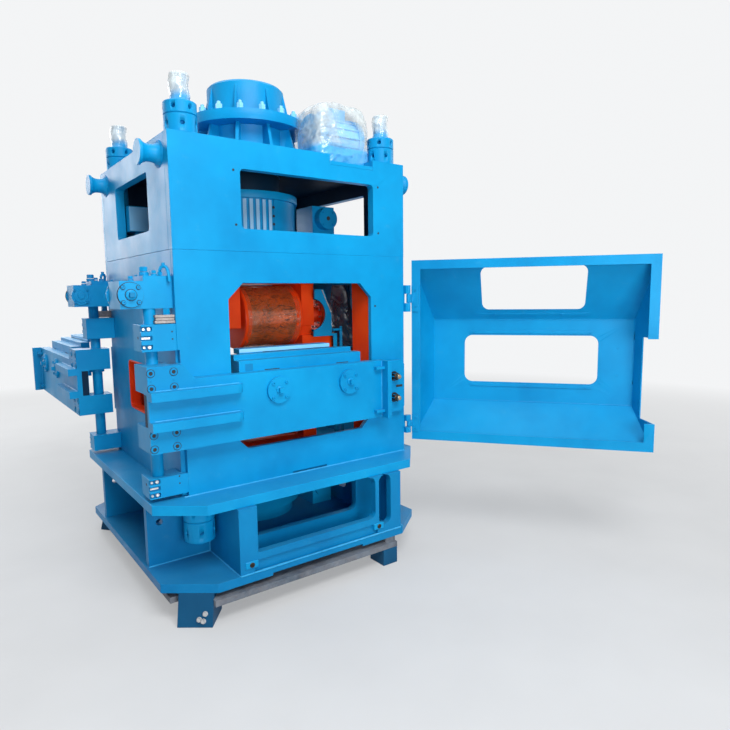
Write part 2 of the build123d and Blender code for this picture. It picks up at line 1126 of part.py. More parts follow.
def switch_box():
    """The switch box on its pedestal, seen through the left window."""
    box = block(
        switch_box_left,
        switch_box_right,
        switch_box_front,
        switch_box_rear,
        switch_box_low,
        switch_box_high,
    )
    return box + block(
        switch_box_left + switch_leg_inset,
        switch_box_right - switch_leg_inset,
        switch_box_front + switch_leg_inset,
        switch_box_rear,
        frame_top,
        switch_box_low,
    )


save("adjusting_sleeve", sleeve())
save("upper_box_gear", swivel_gearbox(), switch_box())


# Rolls


def skewed(shape, z, skew):
    """Turn a piece of a roll set by its skew and put it in place."""
    return Pos(roll_x, roll_y, z) * Rot(0, 0, skew) * shape


def roll_body(waist, coupling):
    """A roll with its journals, ground hollow by the given waist, and its coupling flange."""
    half = roll_length / 2
    reach = half + chock_gap + chock_width + chock_gap
    stations = roll_stations if waist else 1
    points = [(-half, 0)]
    for step in range(stations + 1):
        x = -half + roll_length * step / stations
        points.append((x, roll_radius - waist * (1 - (x / half) ** 2)))
    points.append((half, 0))
    body = revolve(Plane.XZ * Polygon(*points, align=None), Axis.X)
    body = body + along_x(-reach, reach, 0, 0, journal_radius)
    if coupling:
        body = body + along_x(reach, reach + coupling_gap, 0, 0, journal_radius)
        reach = reach + coupling_gap
        disc = along_x(reach, reach + coupling_thickness, 0, 0, coupling_radius)
        boss = along_x(reach + coupling_thickness, reach + 2 * coupling_thickness, 0, 0, coupling_boss)
        body = body + disc + boss
    return body


def chock(side, z_low, z_high):
    """A bearing block on one journal."""
    inner = roll_length / 2 + chock_gap
    x0, x1 = sorted((side * inner, side * (inner + chock_width)))
    body = block(x0, x1, -chock_depth / 2, chock_depth / 2, z_low, z_high)
    bore = along_x(x0 - 1, x1 + 1, 0, 0, journal_radius + journal_clearance)
    return body - bore


upper_gap = frame_top - deck_thickness - upper_roll_z
carrier_low = upper_gap - upper_carrier_thickness
upper_chocks = [
    skewed(chock(side, -chock_drop, carrier_low), upper_roll_z, upper_roll_skew) for side in (-1, 1)
]
neck = block(
    roll_length / 2 + chock_gap,
    roll_length / 2 + chock_gap + chock_width,
    saddle_neck_inset - chock_depth / 2,
    chock_depth / 2 - saddle_neck_inset,
    -saddle_high,
    -chock_drop,
)
saddle = block(
    roll_length / 2 + chock_gap,
    saddle_end,
    -chock_depth / 2,
    chock_depth / 2,
    -saddle_low,
    -saddle_high,
)
upper_chocks[1] = upper_chocks[1] + skewed(neck + saddle, upper_roll_z, upper_roll_skew)
upper_carrier = upright(
    roll_x, roll_y, upper_roll_z + carrier_low, upper_roll_z + upper_gap, carrier_radius
)
save("upper_roll", skewed(roll_body(roll_waist, True), upper_roll_z, upper_roll_skew))

lower_floor = lower_plate_top + lining_floor - lower_roll_z
lower_carrier_top = lower_floor + carrier_thickness
lower_chocks = [
    skewed(chock(side, lower_carrier_top, chock_drop), lower_roll_z, lower_roll_skew) for side in (-1, 1)
]
lower_carrier = upright(
    roll_x, roll_y, lower_roll_z + lower_floor, lower_roll_z + lower_carrier_top, carrier_radius
)
save("lower_roll", skewed(roll_body(0, False), lower_roll_z, lower_roll_skew))
save("roll_chocks", *upper_chocks, *lower_chocks)
save("roll_carriers", upper_carrier, lower_carrier)


def roll_guard():
    """The crescent guard round the coupling, on a leg that stands on the chamber's floor."""
    floor = lower_plate_top + lining_floor
    outline = [
        (guard_tip_left, guard_high),
        (guard_horn_left, guard_low),
        (guard_leg_left, guard_low),
        (guard_leg_left, floor),
        (guard_leg_right, floor),
        (guard_leg_right, guard_shoulder),
        (guard_outer, guard_shoulder),
        (guard_outer, upper_roll_z),
        (guard_tip_right, guard_high),
    ]
    blade = front_shape(outline, guard_y - guard_wall, guard_y)
    return blade - along_y(
        guard_arc_x, guard_y - guard_wall - 1, guard_y + 1, guard_arc_z, guard_arc_radius
    )


save("roll_guard", roll_guard())


# Hinge gear of the guide beams


def hinge_bracket(low, height, overlap):
    """A clamp bracket on the left plate, flush with the front."""
    x1 = -half_width
    x0 = x1 - bracket_reach
    y0 = -half_depth
    high = low + height
    body = block(x0, x1, y0, y0 + bracket_depth, low, high)
    if overlap:
        body = body + block(x1, x1 + overlap, y0, y0 + plate_wall, low, high)
    for row in range(3):
        z = low + height * (row + 0.5) / 3
        half = clamp_pocket_height / 2
        body = body - block(
            x0 - 1, x0 + clamp_pocket, y0 - 1, y0 + clamp_pocket_depth, z - half, z + half
        )
    return body - upright(hinge_x, hinge_y, low - 1, high + 1, shaft_radius + shaft_clearance)


def hinge_shaft():
    """The long hinge shaft with the collar that carries the beam."""
    shaft = upright(
        hinge_x, hinge_y, lower_bracket_low + shaft_lift, gearbox_low + shaft_seat, shaft_radius
    )
    collar_top = knuckle_top - knuckle_height - knuckle_clearance
    return shaft + upright(
        hinge_x, hinge_y, collar_top - collar_height, collar_top, shaft_radius + collar_wall
    )


def height_gearbox():
    """The gearbox that lifts and lowers the beam."""
    x1 = -half_width
    x0 = x1 - gearbox_reach
    y0 = gearbox_setback - half_depth
    z1 = gearbox_low + gearbox_height
    body = block(x0, x1, y0, y0 + gearbox_depth, gearbox_low, z1)
    body = body - upright(
        hinge_x, hinge_y, gearbox_low - 1, gearbox_low + shaft_seat, shaft_radius + shaft_clearance
    )
    cover = block(
        hinge_x - shaft_radius,
        x1,
        y0,
        y0 + gearbox_depth - gearbox_setback,
        z1,
        z1 + gearbox_cover,
    )
    flange = along_y(
        x0 + gearbox_flange_in,
        y0 - gearbox_flange,
        y0,
        gearbox_low + gearbox_height / 2,
        gearbox_flange_radius,
    )
    return body + cover + flange


front_brackets = [
    hinge_bracket(upper_bracket_low, upper_bracket_height, 0),
    hinge_bracket(lower_bracket_low, lower_bracket_height, beam_notch),
]
save("hinge_brackets", *front_brackets, *[to_rear(bracket) for bracket in front_brackets])
save("hinge_shafts", hinge_shaft(), to_rear(hinge_shaft()))
save("height_gearboxes", height_gearbox(), to_rear(height_gearbox()))


# Guide beams, modelled closed at the front

beam_back = -half_depth - beam_gap
beam_front = beam_back - beam_plate
beam_left = hinge_x - beam_overhang
beam_right = half_width - beam_end_inset


def beam_plate_body():
    """The beam's plate with its raised hinge head and ribs."""
    head_end = beam_left + head_length
    outline = [
        (beam_left, beam_low),
        (beam_right, beam_low),
        (beam_right, beam_high),
        (head_end + head_fillet, beam_high),
        (head_end, knuckle_top),
        (beam_left, knuckle_top),
    ]
    body = front_shape(outline, beam_front, beam_back)
    for level in rib_heights:
        rib = block(
            beam_left,
            beam_left + rib_length,
            beam_front - rib_reach,
            beam_front,
            level - rib_height / 2,
            level + rib_height / 2,
        )
        tip = rib.edges().filter_by(Axis.Z).group_by(Axis.Y)[0].sort_by(Axis.X)[-1]
        body = body + fillet(tip, rib_tip)
    end_x = beam_right - end_rib
    body = body + block(end_x, beam_right, beam_front - end_rib_reach, beam_front, beam_low, beam_high)
    for level in (beam_low + grip_inset, beam_high - grip_inset):
        body = body + block(
            end_x - grip_length,
            end_x,
            beam_front - end_rib_reach / 2,
            beam_front,
            level - grip_wall / 2,
            level + grip_wall / 2,
        )
    return body


def beam_knuckle(low, high):
    """A hinge knuckle behind the beam's head."""
    body = block(beam_left, beam_left + knuckle_reach, beam_back, beam_back + knuckle_depth, low, high)
    return body - upright(hinge_x, hinge_y, low - 1, high + 1, shaft_radius + shaft_clearance)


def beam_latch():
    """The latch plate at the beam's free end."""
    x1 = beam_right + latch_length
    c = latch_chamfer
    low = beam_low + latch_inset
    high = beam_high - latch_inset
    outline = [
        (beam_right, low),
        (x1 - c, low),
        (x1, low + c),
        (x1, high - c),
        (x1 - c, high),
        (beam_right, high),
    ]
    return front_shape(outline, beam_back - latch_plate, beam_back)


def beam_guide():
    """The stepped guide block that reaches into the window."""
    seat = beam_high - block_seat
    step = beam_back + block_low_depth
    front = block(block_left, block_right, beam_back, step, seat, beam_high + block_low_rise)
    back = block(
        block_left,
        block_right - block_step,
        step,
        step + block_high_depth,
        seat,
        beam_high + block_high_rise,
    )
    return front + back


def beam_shoe():
    """The hardened guide shoe behind the block."""
    y0 = beam_back + block_low_depth + block_high_depth
    y1 = y0 + shoe_web
    top = beam_high + shoe_rise
    web = block(shoe_left, shoe_right, y0, y1, beam_high, top)
    return web + block(shoe_left, shoe_right, y1, y1 + shoe_depth, top - shoe_thickness, top)


def beam_cap(x):
    """A round cap with a square adjusting shaft."""
    cap = along_y(x, beam_front - beam_cap_thickness, beam_front, beam_cap_z, beam_cap_radius)
    y = beam_front - beam_cap_thickness
    shaft = block(
        x - square_shaft / 2,
        x + square_shaft / 2,
        y - square_shaft,
        y,
        beam_cap_z - square_shaft / 2,
        beam_cap_z + square_shaft / 2,
    )
    return cap + shaft


def latch_bolt(z):
    """A captive clamp bolt with its nut."""
    x = beam_right + latch_bolt_out
    y = beam_back - latch_plate
    nut = Pos(x, y, z) * Rot(90, 0, 0) * extrude(RegularPolygon(latch_nut_radius, 6), latch_nut_height)
    return nut + along_y(x, y - latch_stud_length, y - latch_nut_height, z, latch_stud_radius)


knuckles = beam_knuckle(beam_low, beam_low + lower_knuckle_height) + beam_knuckle(
    knuckle_top - knuckle_height, knuckle_top
)
beam_nodes = {
    "guide_beam": [beam_plate_body() + knuckles, *[beam_cap(x) for x in beam_caps]],
    "beam_latch": [beam_latch(), *[latch_bolt(z) for z in latch_bolt_levels]],
    "guide_block": [beam_guide(), beam_shoe()],
}


def opened_rear(shape):
    """A beam piece on the rear side, swung open as it stands at rest."""
    swing = Pos(hinge_x, -hinge_y, 0) * Rot(0, 0, rear_beam_open) * Pos(-hinge_x, hinge_y, 0)
    return swing * to_rear(shape)


for node, solids in beam_nodes.items():
    save(f"front_{node}", *solids)
    save(f"rear_{node}", *[opened_rear(solid) for solid in solids])


# Front door, modelled closed with its rim plane at Y = 0 and its hinge edge at X = 0, then swung open


def door_taper(inset, depth):
    """The solid between the door's rim and its front panel, shrunk by the given inset."""
    width = door_width - 2 * inset
    height = door_high - door_low - 2 * inset
    rim = Plane.XZ * Pos(-door_width / 2, (door_low + door_high) / 2) * Rectangle(width, height)
    panel = (
        Plane.XZ.offset(depth)
        * Pos(-(door_panel_near + door_panel_far) / 2, (door_panel_low + door_panel_high) / 2)
        * Rectangle(
            door_panel_far - door_panel_near - 2 * inset, door_panel_high - door_panel_low - 2 * inset
        )
    )
    return loft([rim.face(), panel.face()])


def door_pan():
    """The folded door: a tapered pan with windows, a turned-in rim and the notch for the beam."""
    t = door_skin
    f = door_flange
    shell = door_taper(0, door_depth) - door_taper(t, door_depth - t)
    rim = block(-door_width + t, -t, -t, 0, door_low + t, door_high - t)
    rim = rim - block(-door_width + f, -f, -t - 1, 1, door_low + f, door_high - f)
    pan = shell + rim
    pan = pan - front_panel(
        -door_window_far,
        -door_window_near,
        door_window_low,
        door_window_high,
        -door_depth - t,
        -door_depth + 2 * t,
        door_window_corner,
    )
    pan = pan - front_panel(
        -top_window_far,
        -top_window_near,
        top_window_low,
        top_window_high,
        -door_depth,
        -2 * t,
        top_window_corner,
    )
    notch = block(
        -door_width - t, -door_width + notch_width, -notch_depth, t, notch_low, notch_high
    )
    return pan - notch


def door_place(shape):
    """Move a door piece from its own frame to the open pose."""
    swing = Pos(door_hinge_x, door_hinge_y, 0) * Rot(0, 0, door_open)
    return swing * Pos(-door_set_side, -door_set_front, 0) * shape


def door_strip(z):
    """A flat strip screwed to the inside of the door's panel."""
    y = -door_depth + door_skin
    half = strip_width / 2
    return block(-strip_far, -strip_near, y, y + strip_thickness, z - half, z + half)


def door_leaf(low, high):
    """The door's hinge leaf with its barrel."""
    third = (high - low) / 3
    strap = block(-door_flange + door_leaf_web, 0, 0, door_leaf_wall, low, high)
    web_right = door_set_side - door_pin_radius
    web = block(
        web_right - door_leaf_web, web_right, 0, door_set_front, low + third, high - third
    )
    barrel = upright(door_set_side, door_set_front, low + third, high - third, door_barrel_radius)
    bore = upright(
        door_set_side,
        door_set_front,
        low + third - 1,
        high - third + 1,
        door_pin_radius + door_pin_clearance,
    )
    return strap + web + barrel - bore


def door_bracket(low, high):
    """The housing's hinge leaf with two barrels and the pin."""
    third = (high - low) / 3
    gap = door_barrel_gap
    piece = block(
        half_width,
        half_width + door_bracket_leaf,
        -half_depth,
        -half_depth + door_bracket_depth,
        low,
        high,
    )
    for z0, z1 in ((low, low + third - gap), (high - third + gap, high)):
        piece = piece + block(
            half_width,
            door_hinge_x,
            door_hinge_y - door_bracket_leaf,
            -half_depth + door_bracket_leaf,
            z0,
            z1,
        )
        piece = piece + upright(door_hinge_x, door_hinge_y, z0, z1, door_barrel_radius)
    return piece + upright(door_hinge_x, door_hinge_y, low, high, door_pin_radius)


save("door_pan", door_place(door_pan()))
strip_levels = (door_window_low - strip_room, door_window_high + strip_room)
save("door_strips", *[door_place(door_strip(z)) for z in strip_levels])
save("door_hinge_leaves", *[door_place(door_leaf(*levels)) for levels in door_hinge_levels])
save("door_hinge_brackets", *[door_bracket(*levels) for levels in door_hinge_levels])
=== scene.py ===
import json
import math
import random

import bmesh
import bpy
from mathutils import Matrix, Vector, noise


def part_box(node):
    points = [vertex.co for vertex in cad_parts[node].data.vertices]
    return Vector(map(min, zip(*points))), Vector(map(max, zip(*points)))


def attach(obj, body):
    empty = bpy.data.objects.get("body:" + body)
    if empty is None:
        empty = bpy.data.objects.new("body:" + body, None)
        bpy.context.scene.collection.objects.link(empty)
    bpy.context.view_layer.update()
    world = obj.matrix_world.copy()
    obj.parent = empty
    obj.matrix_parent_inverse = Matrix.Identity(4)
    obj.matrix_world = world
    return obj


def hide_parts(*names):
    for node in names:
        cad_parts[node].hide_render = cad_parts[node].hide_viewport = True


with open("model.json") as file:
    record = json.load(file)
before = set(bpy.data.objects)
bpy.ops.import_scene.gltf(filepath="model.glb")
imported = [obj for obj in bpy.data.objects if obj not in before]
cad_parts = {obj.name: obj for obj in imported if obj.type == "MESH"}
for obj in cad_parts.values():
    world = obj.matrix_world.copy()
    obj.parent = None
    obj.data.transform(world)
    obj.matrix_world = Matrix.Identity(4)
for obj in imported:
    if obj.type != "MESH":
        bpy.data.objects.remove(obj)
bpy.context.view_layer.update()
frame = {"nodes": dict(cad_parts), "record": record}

NODES = frame["nodes"]

# Places that more than one piece uses, in metres
FRONT_Y, LEDGE_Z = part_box("frame_front_plate")[0].yz
BEAM_FACE_Y = -0.695
BLOCK_FACE_Y = -0.630
LATCH_FACE_Y = -0.664
GEARBOX_FACE_Y = -0.606
POCKET_Y = -0.612
BASE_DECK_Z = 0.195
REAR_HINGE = Vector((-0.803, 0.565, 0.0))
DOOR_HINGE = Vector((0.7265, -0.6395, 0.0))
DOOR_SET = Vector((-0.0127, -0.0325, 0.0))
DOOR_PANEL_Y = -0.270
ROLL_AXIS = Vector((0.030, -0.050, 1.420))
ROLL_HALF = 0.190
ROLL_RADIUS = 0.188
SCREW_X = -0.045
TRUNNION = (-0.70, -0.50, 2.215)
NUT_RADIUS = 0.078

# How far the photograph shows the rear beam and the door open, in degrees
REAR_BEAM_OPEN = 90
DOOR_OPEN = 127.2

BACKGROUND = (0.90, 0.91, 0.92)
DAYLIGHT = (0.96, 0.98, 1.0)
UP = Vector((0, 0, 1))
FRONT = Vector((0, -1, 0))
LEFT = Vector((-1, 0, 0))
RIGHT = Vector((1, 0, 0))
IDENTITY = Matrix.Identity(4)
MIRROR_X = Matrix.Scale(-1, 4, (1, 0, 0))
MIRROR_Y = Matrix.Scale(-1, 4, (0, 1, 0))
FRONT_AND_REAR = (IDENTITY, MIRROR_Y)
FOUR_CORNERS = (IDENTITY, MIRROR_Y, MIRROR_X, MIRROR_Y @ MIRROR_X)
ROD_X, ROD_Y = (v - NUT_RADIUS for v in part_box("top_nuts")[1].xy)
ROD_PLACES = [Matrix.Translation((x, y, 0)) for x in (-ROD_X, ROD_X) for y in (-ROD_Y, ROD_Y)]
SCREW_AXIS = Matrix.Translation((SCREW_X, 0, 0))


# Materials


def fill(node, values):
    """Sets a node's inputs by name, with _ for each space."""
    for name, value in values.items():
        node.inputs[name.replace("_", " ")].default_value = value
    return node


class Finish:
    """A node material with short ways to add what the finishes share."""

    def __init__(self, name):
        self.material = bpy.data.materials.new(name)
        self.material.use_nodes = True
        self.tree = self.material.node_tree
        self.shader = self.tree.nodes["Principled BSDF"]
        self.place = self.tree.nodes.new("ShaderNodeTexCoord")

    def node(self, kind, **inputs):
        return fill(self.tree.nodes.new(kind), inputs)

    def fixed(self, **inputs):
        """Even values of the shader itself."""
        fill(self.shader, inputs)

    def link(self, source, target):
        self.tree.links.new(source, target)

    def noise(self, scale, detail=3.0, rough=0.55, stretch=(1, 1, 1), distort=0.0):
        """A noise value from 0 to 1, fixed to the object."""
        mapping = self.node("ShaderNodeMapping", Scale=stretch)
        self.link(self.place.outputs["Object"], mapping.inputs["Vector"])
        made = self.node(
            "ShaderNodeTexNoise", Scale=scale, Detail=detail, Roughness=rough, Distortion=distort
        )
        self.link(mapping.outputs["Vector"], made.inputs["Vector"])
        return made.outputs["Fac"]

    def span(self, value, low, high, start=0.0, end=1.0):
        """Maps low..high of a value to start..end."""
        made = self.node(
            "ShaderNodeMapRange", From_Min=low, From_Max=high, To_Min=start, To_Max=end
        )
        self.link(value, made.inputs["Value"])
        return made.outputs["Result"]

    def mix(self, factor, first, second):
        """Mixes two colours, each a tuple or a socket."""
        made = self.tree.nodes.new("ShaderNodeMix")
        made.data_type = "RGBA"
        self.link(factor, made.inputs["Factor"])
        for value, socket in ((first, made.inputs[6]), (second, made.inputs[7])):
            if isinstance(value, tuple):
                socket.default_value = (*value, 1.0)
            else:
                self.link(value, socket)
        return made.outputs[2]

    def maths(self, operation, first, second=None):
        """A Math node of one or two inputs, the second a socket or a number."""
        made = self.tree.nodes.new("ShaderNodeMath")
        made.operation = operation
        self.link(first, made.inputs[0])
        if isinstance(second, float):
            made.inputs[1].default_value = second
        elif second is not None:
            self.link(second, made.inputs[1])
        return made.outputs[0]

    def times(self, first, second):
        return self.maths("MULTIPLY", first, second)

    def largest(self, first, second):
        return self.maths("MAXIMUM", first, second)

    def facing_up(self):
        """1 on a level top face and 0 on a wall."""
        geometry = self.tree.nodes.new("ShaderNodeNewGeometry")
        split = self.tree.nodes.new("ShaderNodeSeparateXYZ")
        self.link(geometry.outputs["Normal"], split.inputs["Vector"])
        return self.span(split.outputs["Z"], 0.6, 0.95)

    def along(self, point, way):
        """How far a spot lies from a point, measured along a direction."""
        less = self.tree.nodes.new("ShaderNodeVectorMath")
        less.operation = "SUBTRACT"
        less.inputs[1].default_value = point
        self.link(self.place.outputs["Object"], less.inputs[0])
        dot = self.tree.nodes.new("ShaderNodeVectorMath")
        dot.operation = "DOT_PRODUCT"
        dot.inputs[1].default_value = way
        self.link(less.outputs["Vector"], dot.inputs[0])
        return self.maths("ABSOLUTE", dot.outputs["Value"])

    def colour(self, socket):
        self.link(socket, self.shader.inputs["Base Color"])

    def rough(self, socket):
        self.link(socket, self.shader.inputs["Roughness"])

    def bump(self, layers):
        """Bumps from (value, strength, distance) layers, one on top of the other."""
        previous = None
        for value, strength, distance in layers:
            made = self.node("ShaderNodeBump", Strength=strength, Distance=distance)
            self.link(value, made.inputs["Height"])
            if previous is not None:
                self.link(previous, made.inputs["Normal"])
            previous = made.outputs["Normal"]
        self.link(previous, self.shader.inputs["Normal"])


def machine_paint(name, deep, light, dust, dust_share=0.5, gloss=0.34):
    """Sprayed machine enamel: uneven coats, runs, dust on level faces, fine orange peel."""
    f = Finish(name)
    coats = f.noise(1.6, 4.0, 0.6)
    clouds = f.noise(7.0, 3.0, 0.5, stretch=(1, 1, 0.45))
    body = f.mix(f.span(coats, 0.35, 0.68), deep, light)
    faded = f.mix(f.times(f.span(clouds, 0.45, 0.75), 0.35), body, light)
    grime = f.noise(13.0, 8.0, 0.72)
    dirty = f.mix(f.times(f.span(grime, 0.60, 0.80), 0.32), faded, dust)
    settled = f.times(f.facing_up(), f.span(f.noise(9.0, 6.0, 0.65), 0.30, 0.75, 0.15, dust_share))
    f.colour(f.mix(settled, dirty, dust))
    f.rough(f.span(f.noise(5.0, 5.0, 0.6), 0.25, 0.8, gloss, gloss + 0.2))
    f.fixed(Specular_IOR_Level=0.14, Coat_Weight=0.03, Coat_Roughness=0.22)
    peel = f.noise(240.0, 2.0, 0.5)
    waves = f.noise(12.0, 2.0, 0.4, stretch=(1, 1, 0.5))
    f.bump([(peel, 0.09, 0.0006), (waves, 0.10, 0.004)])
    return f.material


def weathered_steel(name):
    """Dark bar steel with rust patches and grey dust."""
    f = Finish(name)
    patches = f.span(f.noise(9.0, 8.0, 0.7), 0.42, 0.66)
    fine = f.noise(60.0, 6.0, 0.7)
    scale = f.mix(f.span(fine, 0.3, 0.7), (0.035, 0.055, 0.080), (0.11, 0.14, 0.18))
    rusty = f.mix(f.times(patches, 0.5), scale, (0.115, 0.065, 0.045))
    mud = f.times(f.span(f.noise(3.5, 7.0, 0.7), 0.40, 0.68), 0.65)
    f.colour(f.mix(mud, rusty, (0.26, 0.29, 0.33)))
    f.rough(f.span(fine, 0.3, 0.7, 0.62, 0.9))
    f.fixed(Metallic=0.25)
    f.bump([(fine, 0.35, 0.0015), (f.noise(14.0, 6.0, 0.6), 0.25, 0.004)])
    return f.material


def bare_steel(name, colour, dark, rough=0.3, stretch=(1, 1, 14)):
    """Turned or ground steel with faint tool marks and oily patches."""
    f = Finish(name)
    marks = f.noise(70.0, 3.0, 0.6, stretch=stretch)
    stain = f.span(f.noise(11.0, 7.0, 0.7), 0.46, 0.70)
    tone = f.mix(f.span(marks, 0.3, 0.7), dark, colour)
    f.colour(f.mix(f.times(stain, 0.6), tone, dark))
    f.rough(f.span(marks, 0.25, 0.75, rough, rough + 0.22))
    f.fixed(Metallic=1.0)
    f.bump([(marks, 0.12, 0.0006)])
    return f.material


def rusty_roll(name, painted_from=None):
    """A ground roll with rust under tight clear film, its ends painted red if asked."""
    f = Finish(name)
    blotch = f.noise(6.0, 8.0, 0.72, distort=0.8)
    streak = f.noise(24.0, 6.0, 0.7, stretch=(0.45, 1.2, 1.2), distort=1.6)
    warm = f.mix(f.span(blotch, 0.40, 0.60), (0.30, 0.060, 0.014), (0.86, 0.130, 0.010))
    skin = f.mix(f.times(f.span(streak, 0.50, 0.62), 0.95), warm, (0.060, 0.018, 0.012))
    if painted_from:
        end = f.along(ROLL_AXIS, RIGHT)
        coat = f.mix(f.span(blotch, 0.35, 0.65), (0.80, 0.030, 0.004), (0.98, 0.080, 0.008))
        skin = f.mix(f.span(end, painted_from, painted_from + 0.006), skin, coat)
    f.colour(skin)
    f.rough(f.span(streak, 0.3, 0.7, 0.28, 0.6))
    f.fixed(Metallic=0.35, Coat_Weight=0.75, Coat_Roughness=0.10)
    folds = f.noise(16.0, 5.0, 0.6, stretch=(1.6, 0.7, 0.7), distort=2.0)
    f.bump([(folds, 0.55, 0.006), (streak, 0.2, 0.002)])
    return f.material


def packing_film(name, tint, low, high, rough=0.10, painted_below=None):
    """Crumpled stretch film: milky where layers double up, clear between, oversprayed if asked, and
    nearly opaque on level tops, painted light on pale film and painted shade on dark film.
    """
    f = Finish(name)
    layers = f.noise(4.0, 3.0, 0.5, distort=1.2)
    folds = f.noise(11.0, 3.0, 0.55, stretch=(1, 1, 0.6), distort=2.4)
    paler = tuple(min(1.0, c * 1.25 + 0.04) for c in tint)
    skin = f.mix(f.span(folds, 0.35, 0.65), tint, paler)
    clear = f.span(layers, 0.32, 0.66, low, high)
    if painted_below:
        top = 2.80
        sunk = top - painted_below
        depth = f.span(f.along((0, 0, top), UP), sunk + 0.01, sunk + 0.04)
        skin = f.mix(depth, skin, (0.05, 0.42, 0.80))
        clear = f.largest(clear, f.times(depth, 0.75))
    f.colour(skin)
    # Level tops turn nearly opaque: painted light on pale film, painted shade on dark film
    f.link(f.largest(clear, f.times(f.facing_up(), 0.9)), f.shader.inputs["Alpha"])
    f.rough(f.span(folds, 0.3, 0.7, rough, rough + 0.16))
    f.fixed(Specular_IOR_Level=0.9, Coat_Weight=0.6, Coat_Roughness=0.06)
    f.bump([(folds, 0.6, 0.010)])
    return f.material


def painted_hole_shade(name):
    """Painted shade for holes, wells and gaps: dark metal mottled with fine dirt."""
    f = Finish(name)
    dirt = f.noise(90.0, 5.0, 0.7)
    f.colour(f.mix(f.span(dirt, 0.3, 0.7), (0.004, 0.006, 0.010), (0.020, 0.024, 0.030)))
    f.rough(f.span(dirt, 0.3, 0.7, 0.6, 0.9))
    f.bump([(dirt, 0.2, 0.001)])
    return f.material


BLUE = machine_paint(
    "blue_enamel", (0.001, 0.215, 0.480), (0.002, 0.305, 0.620), (0.06, 0.31, 0.50), 0.30
)
# A deeper blue for the base castings low on the machine: painted shade
BASE = machine_paint(
    "base_enamel_painted_shade", (0.001, 0.150, 0.370), (0.002, 0.215, 0.470), (0.05, 0.23, 0.38), 0.34
)
# Near-black blue that paints the shade inside the upper box and the beam ends
INSIDE_SHADE = machine_paint(
    "painted_inside_shade",
    (0.001, 0.014, 0.038), (0.002, 0.028, 0.066), (0.01, 0.04, 0.08), 0.30, 0.5,
)
# Pale blue that paints the sheen on the sleeve's flutes
PAINTED_SHEEN = machine_paint(
    "painted_sheen_enamel", (0.20, 0.45, 0.70), (0.38, 0.62, 0.84), (0.14, 0.36, 0.58), 0.30, 0.22
)
FOOT = machine_paint(
    "scuffed_foot_enamel",
    (0.002, 0.050, 0.125), (0.006, 0.090, 0.200), (0.09, 0.060, 0.055), 0.50, 0.42,
)
# Lighter blue for weld beads: a painted highlight along their crowns
WELD = machine_paint(
    "weld_enamel_painted_highlight", (0.020, 0.300, 0.600), (0.060, 0.400, 0.720), (0.10, 0.36, 0.56), 0.30, 0.24
)
PALE_BLUE = machine_paint(
    "pale_blue_enamel", (0.16, 0.52, 0.86), (0.30, 0.62, 0.92), (0.40, 0.55, 0.66)
)
SHADED = machine_paint(
    "shaded_enamel", (0.002, 0.140, 0.330), (0.006, 0.210, 0.440), (0.04, 0.20, 0.36), 0.30
)
RED = machine_paint(
    "red_primer", (0.80, 0.030, 0.004), (0.98, 0.085, 0.008), (0.62, 0.10, 0.03), 0.20, 0.34
)
RAIL = weathered_steel("weathered_steel")
STEEL = bare_steel("turned_steel", (0.62, 0.63, 0.64), (0.34, 0.35, 0.36))
ZINC = bare_steel("zinc_screw", (0.78, 0.80, 0.82), (0.52, 0.54, 0.56), 0.24, (1, 1, 1))
BLACKENED = bare_steel(
    "blackened_nut", (0.10, 0.085, 0.07), (0.03, 0.028, 0.026), 0.30, (1, 1, 1)
)
BRONZE = bare_steel("worn_bronze", (0.66, 0.50, 0.32), (0.30, 0.20, 0.12), 0.28, (1, 1, 1))
SHIM = bare_steel(
    "grey_packing_plate", (0.40, 0.37, 0.36), (0.22, 0.20, 0.20), 0.45, (1, 1, 1)
)
ROLL = rusty_roll("rusty_roll_under_film", 0.145)
PLAIN_ROLL = rusty_roll("rusty_roll")
FILM = packing_film("clear_packing_film", (0.44, 0.50, 0.51), 0.10, 0.84, 0.08, 2.405)
ROD_FILM = packing_film("rod_end_film", (0.52, 0.59, 0.61), 0.40, 0.90, 0.12, 2.515)
DARK_FILM = packing_film("dark_packing_film", (0.020, 0.018, 0.030), 0.80, 1.0, 0.20)
THIN_FILM = packing_film("tight_clear_film", (0.50, 0.16, 0.05), 0.08, 0.42, 0.08)
# Near-black finish that paints the shade inside holes, wells and gaps
HOLE_SHADE = painted_hole_shade("painted_hole_shade")


# Meshes


def frame_of(point, normal, turn=0.0):
    """A placement whose local Z looks along normal."""
    aim = Vector(normal).normalized().to_track_quat("Z", "Y").to_matrix().to_4x4()
    return Matrix.Translation(Vector(point)) @ aim @ Matrix.Rotation(turn, 4, "Z")


def spin(degrees, axis="Z"):
    """A turn about an axis through the origin."""
    return Matrix.Rotation(math.radians(degrees), 4, axis)


def turns(count):
    """Angles at even steps round a circle."""
    return [2 * math.pi * i / count for i in range(count)]


def polar(radius, angle, height=0.0):
    """A point from its distance and its angle about Z."""
    return Vector((radius * math.cos(angle), radius * math.sin(angle), height))


